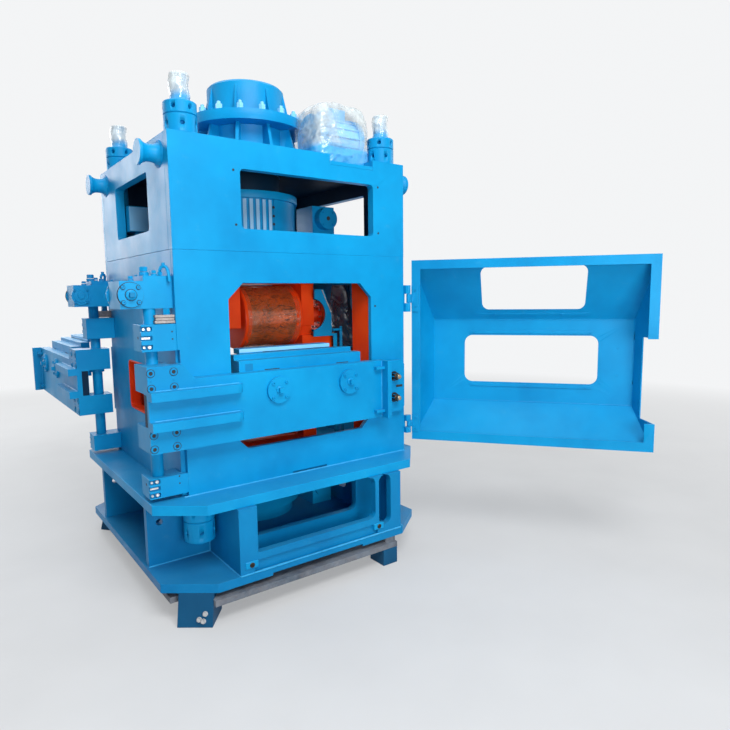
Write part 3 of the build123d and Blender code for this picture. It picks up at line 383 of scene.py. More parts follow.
class Piece:
    """Solids that are collected in one mesh."""

    def __init__(self):
        self.bm = bmesh.new()

    def grow(self, verts, faces, place):
        made = [self.bm.verts.new(place @ Vector(v)) for v in verts]
        for face in faces:
            self.bm.faces.new([made[i] for i in face])

    def turned(self, profile, place=IDENTITY, segments=28):
        """A solid of revolution about local Z from (radius, height) points; closed on the axis."""
        verts, rings = [], []
        for radius, height in profile:
            if radius < 1e-6:
                rings.append([len(verts)])
                verts.append((0, 0, height))
                continue
            rings.append([len(verts) + step for step in range(segments)])
            verts += [polar(radius, angle, height) for angle in turns(segments)]
        faces = []
        for low, high in zip(rings, rings[1:]):
            for step in range(segments):
                after = (step + 1) % segments
                quad = [low[step % len(low)], low[after % len(low)]]
                quad += [high[after % len(high)], high[step % len(high)]]
                faces.append(list(dict.fromkeys(quad)))
        self.grow(verts, faces, place)

    def lathe_ring(self, profile, place=IDENTITY, segments=48):
        """A closed ring of revolution whose profile doesn't meet the axis."""
        verts = [polar(r, angle, height) for angle in turns(segments) for r, height in profile]
        faces = []
        count = len(profile)
        for step in range(segments):
            here, after = step * count, (step + 1) % segments * count
            for i in range(count):
                j = (i + 1) % count
                faces.append([here + i, after + i, after + j, here + j])
        self.grow(verts, faces, place)

    def disc(self, radius, low, high, place, segments, edge=None):
        """A round plug between two heights; edge is (height, top radius) of its chamfer."""
        rim = [(radius, high)] if edge is None else [(radius, edge[0]), (edge[1], high)]
        self.turned([(0, low), (radius, low), *rim, (0, high)], place, segments)

    def band(self, inner, outer, low, high, place, segments):
        """A flat ring between two radii and two heights."""
        profile = [(inner, low), (outer, low), (outer, high), (inner, high)]
        self.lathe_ring(profile, place, segments)

    def box(self, low, high, place=IDENTITY):
        (x0, y0, z0), (x1, y1, z1) = low, high
        verts = [(x, y, z) for z in (z0, z1) for y in (y0, y1) for x in (x0, x1)]
        faces = [(0, 2, 3, 1), (4, 5, 7, 6), (0, 1, 5, 4), (2, 6, 7, 3), (0, 4, 6, 2), (1, 3, 7, 5)]
        self.grow(verts, faces, place)

    def prism(self, outline, height, place=IDENTITY):
        """An outline in local XY, raised along local Z."""
        count = len(outline)
        verts = [(x, y, 0) for x, y in outline] + [(x, y, height) for x, y in outline]
        faces = [list(range(count))[::-1], [count + i for i in range(count)]]
        faces += [[i, (i + 1) % count, count + (i + 1) % count, count + i] for i in range(count)]
        self.grow(verts, faces, place)

    def tube(self, points, radius, segments=8, wobble=0.0, rng=None):
        """A round bar along points, such as a pipe or a weld bead."""
        points = [Vector(p) for p in points]
        verts, faces = [], []
        for i, point in enumerate(points):
            before = points[max(i - 1, 0)]
            after = points[min(i + 1, len(points) - 1)]
            place = frame_of(point, after - before)
            size = radius * (1 + (rng.uniform(-wobble, wobble) if rng else 0.0))
            verts += [place @ polar(size, angle) for angle in turns(segments)]
        for i in range(len(points) - 1):
            for step in range(segments):
                after = (step + 1) % segments
                a, b = i * segments, (i + 1) * segments
                faces.append([a + step, a + after, b + after, b + step])
        last = (len(points) - 1) * segments
        faces.append(list(range(segments))[::-1])
        faces.append([last + i for i in range(segments)])
        self.grow(verts, faces, IDENTITY)

    def finish(self, name, material, body, slot=None, places=(IDENTITY,), bevel=0.0, angle=38):
        """Makes the object, once for each placement, and lets it ride on its body."""
        merged = bmesh.new()
        for place in places:
            part = self.bm.copy()
            bmesh.ops.transform(part, matrix=place, verts=part.verts)
            mesh = bpy.data.meshes.new("part")
            part.to_mesh(mesh)
            merged.from_mesh(mesh)
            bpy.data.meshes.remove(mesh)
            part.free()
        bmesh.ops.recalc_face_normals(merged, faces=merged.faces)
        limit = math.radians(angle)
        for face in merged.faces:
            face.smooth = True
        for edge in merged.edges:
            edge.smooth = len(edge.link_faces) == 2 and edge.calc_face_angle(0.0) < limit
        mesh = bpy.data.meshes.new(name)
        merged.to_mesh(mesh)
        merged.free()
        self.bm.free()
        obj = bpy.data.objects.new(name, mesh)
        bpy.context.scene.collection.objects.link(obj)
        obj.data.materials.append(material)
        if bevel:
            soften(obj, bevel)
        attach(obj, body)
        return obj


def soften(obj, width, segments=2):
    """Rounds the sharp edges of an object."""
    made = obj.modifiers.new("soft_edges", "BEVEL")
    made.width = width
    made.segments = segments
    made.limit_method = "ANGLE"
    made.angle_limit = math.radians(40)
    made.use_clamp_overlap = True
    made.miter_outer = "MITER_ARC"
    return made


def along(start, end, step):
    """Points at even steps on a line."""
    start, end = Vector(start), Vector(end)
    count = max(2, round((end - start).length / step))
    return [start.lerp(end, i / count) for i in range(count + 1)]


def socket_screw(piece, point, normal, radius, height, recess=0.5):
    """A socket cap screw: a chamfered head with an open well."""
    well = radius * recess
    chamfer = radius * 0.12
    profile = [
        (radius, -0.001),
        (radius, height - chamfer),
        (radius - chamfer, height),
        (well, height),
        (well * 0.95, height * 0.35),
        (0, height * 0.30),
    ]
    piece.turned(profile, frame_of(point, normal), 20)


def hex_bolt(piece, point, normal, across, height, turn=0.0, washer=True):
    """A hexagon head with a crowned top, on a washer."""
    r = across / math.sqrt(3)
    seat = 0.003
    place = frame_of(point, normal, turn)
    if washer:
        piece.disc(r * 1.12, -0.001, seat, place, 24)
    outline = [polar(r, angle).xy for angle in turns(6)]
    piece.prism(outline, height, place @ Matrix.Translation((0, 0, seat)))
    crown = place @ Matrix.Translation((0, 0, height + seat))
    piece.turned([(r * 0.84, -0.0005), (r * 0.80, 0.002), (0, 0.0022)], crown, 24)


def inlay(piece, x_range, face_y, z_range, proud=0.0006):
    """A thin plate let into a front face, so that it shows on it."""
    piece.box((x_range[0], face_y - proud, z_range[0]), (x_range[1], face_y + 0.002, z_range[1]))


def weld_beads(piece, seams, step, radius, wobble, rng):
    """Beads of uneven width along straight seams."""
    for start, end in seams:
        piece.tube(along(start, end, step), radius, 6, wobble, rng)


# Placements of the pieces that swing

REAR_BEAM = (
    Matrix.Translation(REAR_HINGE)
    @ spin(REAR_BEAM_OPEN)
    @ Matrix.Translation(-REAR_HINGE)
    @ MIRROR_Y
)
DOOR = Matrix.Translation(DOOR_HINGE) @ spin(DOOR_OPEN) @ Matrix.Translation(DOOR_SET)
BEAMS = (("front", "front_beam", IDENTITY), ("rear", "rear_beam", REAR_BEAM))


# Finishes of the frame's own pieces


def dress_nodes():
    """Gives each piece of the frame its finish and its softened edges."""
    by_slot = {
        "blue_paint": BLUE,
        "red_paint": RED,
        "rail_steel": RAIL,
        "bare_steel": STEEL,
        "roll_steel": ROLL,
        "motor_wrap": PALE_BLUE,
    }
    by_name = {
        "hinge_shafts": BLUE,
        "tie_rods": BLUE,
        "lower_roll": PLAIN_ROLL,
        "corner_feet": FOOT,
        # The base castings take the darker enamel that paints their shade
        "base_plate": BASE,
        "base_front_wall": BASE,
        "base_rear_wall": BASE,
        "base_webs": BASE,
    }
    thin = ("door_pan", "door_strips", "upper_front", "upper_rear")
    thin_edge, edge, joined = 0.0012, 0.003, 0.00002
    slots = {s["node"]: s["material_slot"] for s in frame["record"]["subparts"]}
    for name, obj in NODES.items():
        obj.data.materials.clear()
        obj.data.materials.append(by_name.get(name, by_slot[slots[name]]))
        weld = obj.modifiers.new("weld", "WELD")
        weld.merge_threshold = joined
        soften(obj, thin_edge if name.startswith(thin) else edge)


dress_nodes()


# Guide beams


def beam_details(label, body, place):
    """Screws, cap collars, clamp nuts and weld beads of one guide beam."""
    rng = random.Random(label)
    face, cap_face = BEAM_FACE_Y, BEAM_FACE_Y - 0.016
    screw_columns, screw_rows = (-0.746, -0.850), (1.206, 1.136, 0.921, 0.856)
    cap_columns, cap_z, cap_half = (-0.207, 0.237), 1.065, 0.038

    def made(piece, name, finish, slot="blue_paint", bevel=0.0):
        piece.finish(f"{label}_{name}", finish, body, slot, (place,), bevel)

    # Dark hexes in the screw wells, dark rings round the heads and dark strips on the block, under
    # the shoe and at the latch paint the shade of wells, gaps and slots
    screws, sockets, collars = Piece(), Piece(), Piece()
    for x in screw_columns:
        for z in screw_rows:
            spot = frame_of((x, face, z), FRONT)
            socket_screw(screws, (x, face, z), FRONT, 0.0165, 0.004, 0.62)
            sockets.disc(0.0095, 0.0005, 0.0016, spot, 6)
            sockets.band(0.0172, 0.0196, -0.001, 0.0006, spot, 32)
        for z in (1.171, 0.889):
            socket_screw(screws, (x + 0.001, face, z), FRONT, 0.006, 0.002)
    for x in cap_columns:
        collars.disc(0.022, 0, 0.008, frame_of((x, cap_face, cap_z), FRONT), 32, (0.004, 0.017))
        for dx in (-cap_half, cap_half):
            for dz in (-cap_half, cap_half):
                socket_screw(screws, (x + dx, cap_face, cap_z + dz), FRONT, 0.009, 0.007)
    inlay(sockets, (-0.250, -0.163), BLOCK_FACE_Y, (1.1645, 1.1690))
    inlay(sockets, (0.197, 0.278), BLOCK_FACE_Y, (1.1645, 1.1690))
    sockets.box((-0.200, -0.5155, 1.2475), (0.227, -0.5100, 1.2505))
    inlay(sockets, (0.606, 0.655), LATCH_FACE_Y, (0.990, 1.004))
    made(screws, "beam_screws", BLUE)
    made(collars, "cap_collars", BLUE)
    made(sockets, "beam_socket_shade", HOLE_SHADE, "rail_steel")

    strip, pocket, hollow = Piece(), Piece(), Piece()
    # The pale strip along the shoe's edge is a painted highlight
    strip.box((-0.335, -0.5165, 1.2505), (0.227, -0.5100, 1.2705))
    made(strip, "shoe_edge_highlight", PALE_BLUE, bevel=0.001)
    # A shaded plate on the block's face paints the shade of a shallow pocket
    inlay(pocket, (-0.359, -0.316), BLOCK_FACE_Y, (1.168, 1.204), 0.0008)
    made(pocket, "block_pocket_shade", SHADED, bevel=0.0005)
    # A dark plate in the beam's end opening paints the shade of its deep notch
    end_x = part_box("front_guide_beam")[0].x
    hollow.box((end_x - 0.0006, -0.668, 0.954), (end_x + 0.002, -0.632, 1.104))
    made(hollow, "end_hollow_shade", INSIDE_SHADE)

    nuts, studs, beads = Piece(), Piece(), Piece()
    for z in (0.932, 1.060):
        point = (0.588, LATCH_FACE_Y, z)
        nuts.disc(0.029, -0.001, 0.005, frame_of(point, FRONT), 28)
        hex_bolt(nuts, point, FRONT, 0.041, 0.030, rng.uniform(0, 1), False)
        studs.disc(0.0135, 0.030, 0.056, frame_of(point, FRONT), 24, (0.053, 0.011))
    made(nuts, "clamp_nuts", BLACKENED, "bare_steel", 0.0012)
    made(studs, "clamp_studs", BRONZE, "bare_steel")
    # The beads' lighter enamel paints the highlight along them
    rail_edges = (0.962 - 0.021, 0.962 + 0.021, 1.101 - 0.021, 1.101 + 0.021)
    seams = [((-0.842, face, z), (-0.425, face, z)) for z in rail_edges]
    seams += [((x, face, 0.835), (x, face, 1.162)) for x in (0.472, 0.500)]
    weld_beads(beads, seams, 0.012, 0.0035, 0.25, rng)
    made(beads, "beam_welds", WELD)


for label, body, place in BEAMS:
    beam_details(label, body, place)


# Housing


def panel_screws():
    """Small screws beside the windows in the dark hole-shade finish, and a plate of painted shade
    at the back of the foot's slot, front and rear.
    """
    screws, slot = Piece(), Piece()
    for x, z in ((-0.382, 2.158), (-0.377, 1.897), (0.508, 2.158), (0.509, 1.899), (0.480, 1.480)):
        socket_screw(screws, (x, FRONT_Y, z), FRONT, 0.006, 0.0015, 0.7)
    screws.finish("panel_screws", HOLE_SHADE, "stand", "rail_steel", FRONT_AND_REAR)
    # A plate of painted shade behind the foot's slot
    slot.box((-0.0955, FRONT_Y + 0.012, 0.5795), (0.1235, FRONT_Y + 0.014, 0.5925))
    slot.finish("foot_slot_shade", SHADED, "stand", "blue_paint", FRONT_AND_REAR)


def nuts_with_holes():
    """The round nuts of the tie rods with their tommy-bar holes cut through the rim."""
    bore, chamfer, half_joint = 0.0365, 0.004, 0.0004
    top_radius = NUT_RADIUS - chamfer
    hole_radius, hole_depth = 0.0112, 0.028
    for name, node, levels in (
        ("top_round_nuts", "top_nuts", ((0.0, 0.088), (0.088, 0.148))),
        ("base_round_nuts", "base_nuts", ((0.0, 0.1075), (0.1075, 0.215))),
    ):
        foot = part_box(node)[0].z
        body, cutters = Piece(), Piece()
        for start, end in levels:
            z0, z1 = foot + start + half_joint, foot + end - half_joint
            profile = [(bore, z0), (top_radius, z0), (NUT_RADIUS, z0 + chamfer)]
            profile += [(NUT_RADIUS, z1 - chamfer), (top_radius, z1), (bore, z1)]
            body.lathe_ring(profile, segments=64)
            for turn in range(6):
                aim = polar(1, math.radians(60 * turn + 17 + 30 * (start > 0)))
                spot = aim * (NUT_RADIUS - hole_depth) + UP * (z0 + z1) / 2
                cutters.disc(hole_radius, 0, 0.04, frame_of(spot, aim), 20)
        nuts = body.finish(name, BLUE, "stand", "blue_paint", ROD_PLACES)
        cutter = cutters.finish(name + "_cutter", HOLE_SHADE, "stand", None, ROD_PLACES)
        cut = nuts.modifiers.new("holes", "BOOLEAN")
        cut.object = cutter
        cut.solver = "EXACT"
        graph = bpy.context.evaluated_depsgraph_get()
        solid = bpy.data.meshes.new_from_object(nuts.evaluated_get(graph))
        nuts.modifiers.remove(cut)
        nuts.data = solid
        bpy.data.objects.remove(cutter)
        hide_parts(node)


def seam_welds():
    """Weld beads where the plates of the base, the lower plate and the trunnions meet."""
    rng = random.Random(7)
    beads, rings = Piece(), Piece()
    wall_x, deck = 0.515, BASE_DECK_Z
    seams = [
        ((-0.70, FRONT_Y, LEDGE_Z), (0.70, FRONT_Y, LEDGE_Z)),
        ((-wall_x, -0.831, deck), (wall_x - 0.02, -0.831, deck)),
    ]
    for side, reach in ((-1, 0.838), (1, 0.718)):
        x = side * wall_x
        seams += [
            ((x, -0.45, deck), (side * reach, -0.45, deck)),
            ((x, -0.45, deck), (x, -0.45, 0.530)),
            ((x, -0.83, deck), (x, -0.45, deck)),
            ((x, -0.41, deck), (x, 0.0, deck)),
        ]
    # The beads' lighter enamel paints the highlight along them
    weld_beads(beads, seams, 0.014, 0.0045, 0.25, rng)
    beads.finish("base_welds", WELD, "stand", "blue_paint", FRONT_AND_REAR)
    place = frame_of(TRUNNION, LEFT)
    steps = [place @ polar(0.058, angle) for angle in turns(40)]
    rings.tube(steps + steps[:1], 0.0055, 6, 0.2, rng)
    rings.finish("trunnion_welds", BLUE, "stand", "blue_paint", FOUR_CORNERS)


def trunnion_flares():
    """The hollow flare between each trunnion's neck and its two ends."""
    flares = Piece()
    inner, length, steps = 0.0395, 0.0860, 8
    profile = [(inner, 0.001)]
    for step in range(steps + 1):
        share = step / steps
        bend = (1 - math.sin(math.pi * share)) ** 1.6
        profile.append((0.0402 + 0.0165 * bend, 0.0005 + length * share))
    profile.append((inner, length))
    flares.lathe_ring(profile, frame_of(TRUNNION, LEFT))
    flares.finish("trunnion_flares", BLUE, "stand", "blue_paint", FOUR_CORNERS)


def anchor_seats():
    """The two bolted seats at the ends of the base's recess."""
    seats, bolts = Piece(), Piece()
    face, half = -0.836, 0.034
    for x in (-0.455, 0.333):
        seats.box((x - half, face, 0.222), (x + half, -0.812, 0.258))
        socket_screw(bolts, (x, face, 0.240), FRONT, 0.013, 0.004, 0.66)
    seats.finish("anchor_seats", BLUE, "stand", "blue_paint", FRONT_AND_REAR, 0.004)
    bolts.finish("anchor_bolts", BLACKENED, "stand", "bare_steel", FRONT_AND_REAR)


def foot_bolts():
    """The bolts low on each left foot's flared face."""
    bolts = Piece()
    turn = math.atan2(0.169, 0.220)
    flare, height = 0.042, 0.150
    place = Matrix.Translation((-0.740, -0.7465, 0)) @ Matrix.Rotation(-turn, 4, "Z")
    out = place.to_3x3() @ Vector((0, -height, flare)).normalized()
    for x, z in ((0.078, 0.061), (0.050, 0.036), (0.070, 0.029)):
        spot = place @ Vector((x, -flare * (1 - z / height), z))
        hex_bolt(bolts, spot, out, 0.019, 0.009, x * 9)
    bolts.finish("foot_bolts", STEEL, "stand", "bare_steel", FRONT_AND_REAR)


panel_screws()
nuts_with_holes()
seam_welds()
trunnion_flares()
anchor_seats()
foot_bolts()


# Roof


def flange_bolts():
    """Studs and nuts round the screw-down's flange, and the ribs of the drum above it."""
    nuts, studs, ribs = Piece(), Piece(), Piece()
    for turn in range(16):
        spot = polar(0.309, math.radians(22.5 * turn - 99), 2.568)
        hex_bolt(nuts, spot, UP, 0.034, 0.027, turn * 0.7)
        studs.disc(0.0105, 0.02, 0.046, Matrix.Translation(spot), 16, (0.044, 0.008))
    thick = 0.014
    outline = [(0.220, 2.590), (0.254, 2.590), (0.254, 2.604), (0.226, 2.728), (0.220, 2.728)]
    upright = spin(90, "X") @ Matrix.Translation((0, 0, -thick / 2))
    for turn in range(8):
        ribs.prism(outline, thick, spin(45 * turn + 6) @ upright)
    # The pale enamel of the flange nuts and studs paints the light on their tops
    nuts.finish("flange_nuts", PALE_BLUE, "stand", "blue_paint", bevel=0.001)
    studs.finish("flange_studs", PALE_BLUE, "stand", "blue_paint")
    ribs.finish("cap_ribs", BLUE, "stand", "blue_paint", bevel=0.002)


# The vector noise follows the clock unless it is seeded; this seed gives the folds that
# the checked export has
noise.seed_set(1795713133)


def crumple(point, size, strength, seed):
    """A sharp-folded push for packing film."""
    spot = Vector(point) * size + Vector((seed, -seed, seed * 0.5))
    warp = noise.noise_vector(spot * 0.7) * 1.4
    fold = 0.0
    for octave in range(4):
        fold += (1 - abs(noise.noise((spot + warp) * 2**octave))) * 0.5**octave
    return (fold - 1.1) * strength


def film_shell(name, material, body, rows, columns, surface, places=(IDENTITY,), closed=True):
    """A crumpled sheet from a surface function of (row, column) shares."""
    piece = Piece()
    width = columns + (not closed)
    verts = [surface(r / rows, c / columns) for r in range(rows + 1) for c in range(width)]
    faces = []
    for r in range(rows):
        for c in range(columns):
            here, after = r * width + c, r * width + (c + 1) % width
            faces.append([here, after, after + width, here + width])
    piece.grow(verts, faces, IDENTITY)
    return piece.finish(name, material, body, "motor_wrap", places, angle=75)


def rod_wraps():
    """Film wound round the rod ends above the nuts."""
    foot, length, closing = 2.452, 0.133, 0.86

    def surface(row, column):
        angle = 2 * math.pi * column
        radius = 0.0445 + 0.004 * math.sin(9 * row + angle)
        if row > closing:
            radius *= max(0.10, 1 - ((row - closing) / (1 - closing)) ** 2)
        spot = polar(radius, angle, foot + length * min(1.0, row / 0.9))
        return spot + polar(1, angle) * max(-0.004, crumple(spot, 26, 0.005, 3.1))

    wraps = film_shell("rod_wraps", ROD_FILM, "stand", 26, 40, surface, ROD_PLACES)


def motor_bag():
    """The bag pulled over the screw-down motor, in stiff flat folds."""
    low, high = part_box("screwdown_motor")
    centre = (low + high) / 2
    reach = (high - low) / 2 + Vector((0.022, 0.018, 0.012))

    def surface(row, column):
        rise = math.radians(-58 + 148 * row)
        way = polar(math.cos(rise), 2 * math.pi * column, math.sin(rise))
        spot = way * sum(abs(way[i] / reach[i]) ** 6 for i in range(3)) ** (-1 / 6)
        lean = 1 - 0.16 * max(0.0, spot.z / reach.z) ** 3
        spot = Vector((spot.x * lean, spot.y * lean, spot.z))
        large, small = crumple(spot, 5.0, 0.024, 1.7), crumple(spot, 14.0, 0.006, 5.2)
        return centre + spot + way * large + way * small

    film_shell("motor_bag", FILM, "stand", 84, 128, surface)


flange_bolts()
rod_wraps()
motor_bag()


# Upper box


def sleeve_details():
    """Dark discs that paint the shade of the fluted sleeve's holes, pale strips that paint the
    sheen on its ridges, and the screws and dark centre of the gearbox cap beside it.
    """
    holes, screws, centre, ridges = Piece(), Piece(), Piece(), Piece()
    aim = Vector((0.047, -0.3084, 0)).normalized()
    # Dark discs paint the shade of the sleeve's three holes
    for z in (2.047, 1.998, 1.953):
        spot = Vector((SCREW_X, 0, z)) + aim * 0.312
        holes.disc(0.008, 0.0008, 0, frame_of(spot, aim), 24)
    holes.finish("sleeve_hole_shade", HOLE_SHADE, "stand", "rail_steel")
    x, y, z, ring = 0.4775, -0.150, 2.033, 0.052
    for angle in (45, 135, 225, 315):
        a = math.radians(angle)
        spot = (x + ring * math.cos(a), y, z + ring * math.sin(a))
        socket_screw(screws, spot, FRONT, 0.007, 0.005)
    screws.finish("swivel_screws", BLUE, "stand", "blue_paint")
    # A dark disc paints the shade of the cap's centre
    centre.disc(0.013, 0.001, 0, frame_of((x, y, z), FRONT), 24)
    centre.finish("swivel_centre_shade", HOLE_SHADE, "stand", "rail_steel")
    # Pale strips on the sleeve's ridges paint the sheen of its flutes
    for angle in (-113.0, -106.3, -99.5, -92.5, -85.5):
        ridges.box((0.3105, -0.0095, 1.775), (0.3127, 0.0095, 2.086), SCREW_AXIS @ spin(angle))
    ridges.finish("sleeve_ridge_sheen", PAINTED_SHEEN, "stand", "blue_paint", bevel=0.0008)


def strips_round(half, low, high, hole):
    """What a plate leaves round its hole, as four (start, end, low, high) strips."""
    start, end, sill, head = hole
    return (
        (-half, half, low, sill),
        (-half, half, head, high),
        (-half, start, sill, head),
        (end, half, sill, head),
    )


def box_inside_shade():
    """Painted shade on the upper box's inner walls round its windows and under its roof, and its
    switch box's pale face, partly a painted sheen.
    """
    low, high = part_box("upper_front_plate")
    wall, gap, skin = 0.050, 0.0004, 0.0006
    x, y = high.x - wall - gap, -low.y - wall - gap
    z0, z1 = low.z + 0.001, high.z - wall - 0.001
    sill, head, neck_half = 1.878, 2.170, 0.24
    skins, roof, cover = Piece(), Piece(), Piece()
    for side in (-1, 1):
        back, face = sorted((side * y, side * (y - skin)))
        for x0, x1, bottom, top in strips_round(x, z0, z1, (-0.349, 0.476, sill, head)):
            skins.box((x0, back, bottom), (x1, face, top))
        back, face = sorted((side * x, side * (x - skin)))
        for y0, y1, bottom, top in strips_round(y, z0, z1, (-0.299, 0.299, sill, head)):
            skins.box((back, y0, bottom), (face, y1, top))
    skins.finish("box_inside_shade", INSIDE_SHADE, "stand", "blue_paint")
    roof.band(0.2245, 0.2256, 2.1325, 2.2535, SCREW_AXIS, 72)
    roof.band(0.2300, 0.3450, 2.2528, 2.2532, SCREW_AXIS, 72)
    neck = (-neck_half, neck_half, SCREW_X - neck_half, SCREW_X + neck_half)
    for y0, y1, x0, x1 in strips_round(y, -x, x, neck):
        roof.box((x0, y0, 2.2530), (x1, y1, 2.2536))
    roof.finish("roof_inside_shade", INSIDE_SHADE, "stand", "blue_paint")
    # The switch box's pale face: its light blue paint with a painted sheen
    cover_y = 0.2485
    cover.box((-0.641, cover_y, 1.934), (-0.434, 0.2505, 2.071))
    cover.disc(0.006, 0.004, 0, frame_of((-0.508, cover_y, 1.962), FRONT), 16)
    cover.finish("switch_box_face_and_sheen", PALE_BLUE, "stand", "blue_paint", bevel=0.001)


sleeve_details()
box_inside_shade()


# Hinge gear


def gearbox_details():
    """Flange screws, drive squares, oil fittings and end covers of the height gearboxes."""
    blue, dark, bright, shade = Piece(), Piece(), Piece(), Piece()
    middle, face, deck = 1.5585, GEARBOX_FACE_Y, 1.646
    # The dark rings round the screws, the flange and the hub paint the shade in their joints
    for x in (-0.924, -0.856):
        for z in (middle - 0.034, middle + 0.034):
            socket_screw(blue, (x, face, z), FRONT, 0.0085, 0.007)
            shade.band(0.0090, 0.0112, -0.001, 0.0006, frame_of((x, face, z), FRONT), 24)
            socket_screw(blue, (x - 0.008, face + 0.200, z), -FRONT, 0.0085, 0.012)
    hub = frame_of((-0.890, face, middle), FRONT)
    shade.band(0.0560, 0.0588, -0.001, 0.0010, frame_of((-0.890, -0.596, middle), FRONT), 64)
    shade.band(0.0245, 0.0270, -0.001, 0.0006, hub, 48)
    blue.disc(0.024, 0, 0.008, hub, 32, (0.005, 0.020))
    cover = [(0, 0), (0.052, 0), (0.052, 0.006), (0.040, 0.006)]
    cover += [(0.038, 0.009), (0.020, 0.009), (0.018, 0.013), (0, 0.013)]
    blue.turned(cover, frame_of((-0.898, -0.406, middle), -FRONT), 40)
    dark.box((-0.901, -0.632, middle - 0.011), (-0.879, face, middle + 0.011))
    for spot, height, radius in (
        ((-0.812, -0.545, deck), 0.034, 0.023),
        ((-0.775, -0.575, deck), 0.018, 0.014),
        ((-0.860, -0.500, 1.622), 0.018, 0.014),
    ):
        foot = Vector(spot)
        blue.disc(radius, 0, height * 0.5, Matrix.Translation(foot), 20)
        top = foot + UP * height * 0.5
        hex_bolt(blue, top, UP, radius * 1.5, height * 0.6, spot[0], False)
    for y in (-0.585, -0.448):
        for x in (-0.820, -0.712):
            socket_screw(blue, (x, y, deck), UP, 0.0075, 0.007)
    elbow = [
        (-0.745, -0.570, 1.644), (-0.745, -0.570, 1.673), (-0.741, -0.574, 1.686),
        (-0.732, -0.580, 1.691), (-0.722, -0.586, 1.688), (-0.717, -0.592, 1.678),
        (-0.716, -0.604, 1.658), (-0.716, -0.610, 1.618),
    ]
    blue.tube(elbow, 0.0082, 12)
    hex_bolt(blue, (-0.745, -0.570, deck), UP, 0.022, 0.014, 0.2, False)
    bright.disc(0.009, 0, 0.014, frame_of((-0.732, -0.580, 1.693), UP), 12)
    blue.finish("gearbox_fittings", BLUE, "stand", "blue_paint", FRONT_AND_REAR)
    dark.finish("drive_squares", SHADED, "stand", "blue_paint", FRONT_AND_REAR, 0.0015)
    shade.finish("gearbox_joint_shade", HOLE_SHADE, "stand", "rail_steel", FRONT_AND_REAR)
    bright.finish("oil_nipples", BLUE, "stand", "blue_paint", FRONT_AND_REAR)


def bracket_details():
    """The clamp screws in the brackets' pockets and the layered packing on top."""
    bright, dots, shims, backs, jack = Piece(), Piece(), Piece(), Piece(), Piece()
    for low, height in ((1.297, 0.126), (0.600, 0.097)):
        rows = [low + height * (row + 0.5) / 3 for row in range(3)]
        for z in rows:
            backs.box((-0.8615, -0.6126, z - 0.0105), (-0.8125, -0.6112, z + 0.0105))
        for z in (rows[0], rows[2]):
            socket_screw(bright, (-0.826, POCKET_Y, z), FRONT, 0.0085, 0.011)
            bright.disc(0.0055, 0, 0.010, frame_of((-0.850, POCKET_Y, z), FRONT), 12)
        middle = low + height / 2
        bright.box((-0.858, -0.616, middle - 0.004), (-0.820, -0.611, middle + 0.004))
        # Dark dots paint the shade of the bracket's holes
        for z in (low + 0.090, low + 0.055):
            dots.disc(0.004, 0.0006, 0, frame_of((-0.720, FRONT_Y, z), FRONT), 12)
        dots.disc(0.0065, 0.0006, 0, frame_of((-0.862, -0.575, low + 0.064), LEFT), 16)
    for level, inset in ((1.4260, 0.0), (1.4395, 0.006), (1.4530, 0.002)):
        shims.box((-0.794 + inset, -0.618 + inset, level), (-0.7005, -0.560, level + 0.0125))
    hex_bolt(jack, (-0.732, -0.592, 1.4655), UP, 0.030, 0.024, 0.4)
    jack.finish("bracket_jack", BLUE, "stand", "blue_paint", FRONT_AND_REAR)
    bright.finish("clamp_screws", ZINC, "stand", "bare_steel", FRONT_AND_REAR)
    dots.finish("bracket_hole_shade", HOLE_SHADE, "stand", "rail_steel", FRONT_AND_REAR)
    backs.finish("pocket_shades", SHADED, "stand", "blue_paint", FRONT_AND_REAR)
    shims.finish("packing_plates", SHIM, "stand", "bare_steel", FRONT_AND_REAR, 0.001)


gearbox_details()
bracket_details()


# Rolls


def roll_details():
    """Painted shoulders, the film round the barrel and the coupling's bolts."""
    collars, bolts = Piece(), Piece()
    r, h, bore = ROLL_RADIUS, ROLL_HALF, 0.060
    outer = r + 0.0015
    profile = [(bore, h + 0.0005), (r - 0.004, h + 0.0005), (outer, h - 0.004), (outer, h - 0.040)]
    profile += [(r - 0.006, h - 0.045), (r - 0.010, h - 0.0015), (bore, h - 0.0015)]
    lying = Matrix.Translation(ROLL_AXIS) @ spin(90, "Y")
    for side in (-1, 1):
        collars.lathe_ring([(radius, side * z) for radius, z in profile], lying, 72)
    collars.finish("roll_shoulders", RED, "upper_roll_set", "red_paint")

    def surface(row, column):
        x = (2 * row - 1) * (ROLL_HALF - 0.016)
        angle = 2 * math.pi * column
        radius = ROLL_RADIUS - 0.0025 + 0.005 * (x / ROLL_HALF) ** 2
        spot = Vector((x, radius * math.cos(angle), radius * math.sin(angle)))
        out = Vector((0, math.cos(angle), math.sin(angle)))
        return ROLL_AXIS + spot + out * max(-0.0015, crumple(spot, 13, 0.007, 8.0))

    film = film_shell("roll_film", THIN_FILM, "upper_roll_set", 60, 150, surface)
    circle = 0.083
    for turn in range(12):
        a = math.radians(30 * turn + 8)
        for x, way in ((0.384, LEFT), (0.410, RIGHT)):
            spot = ROLL_AXIS + Vector((x, circle * math.cos(a), circle * math.sin(a)))
            hex_bolt(bolts, spot, way, 0.013, 0.009, turn, False)
    bolts.finish("coupling_bolts", ZINC, "upper_roll_set", "bare_steel")


def chamber_sheet():
    """Dark film that hangs in the chamber beside the coupling."""

    def surface(row, column):
        wave = 0.05 * math.sin(5 * row + 3 * column)
        spot = Vector((0.462 + 0.168 * row, -0.215 + wave, 1.12 + 0.485 * column))
        return spot + Vector((0, crumple(spot, 7, 0.022, 4.4), crumple(spot, 9, 0.006, 2.2)))

    film = film_shell("chamber_film", DARK_FILM, "stand", 60, 60, surface, closed=False)


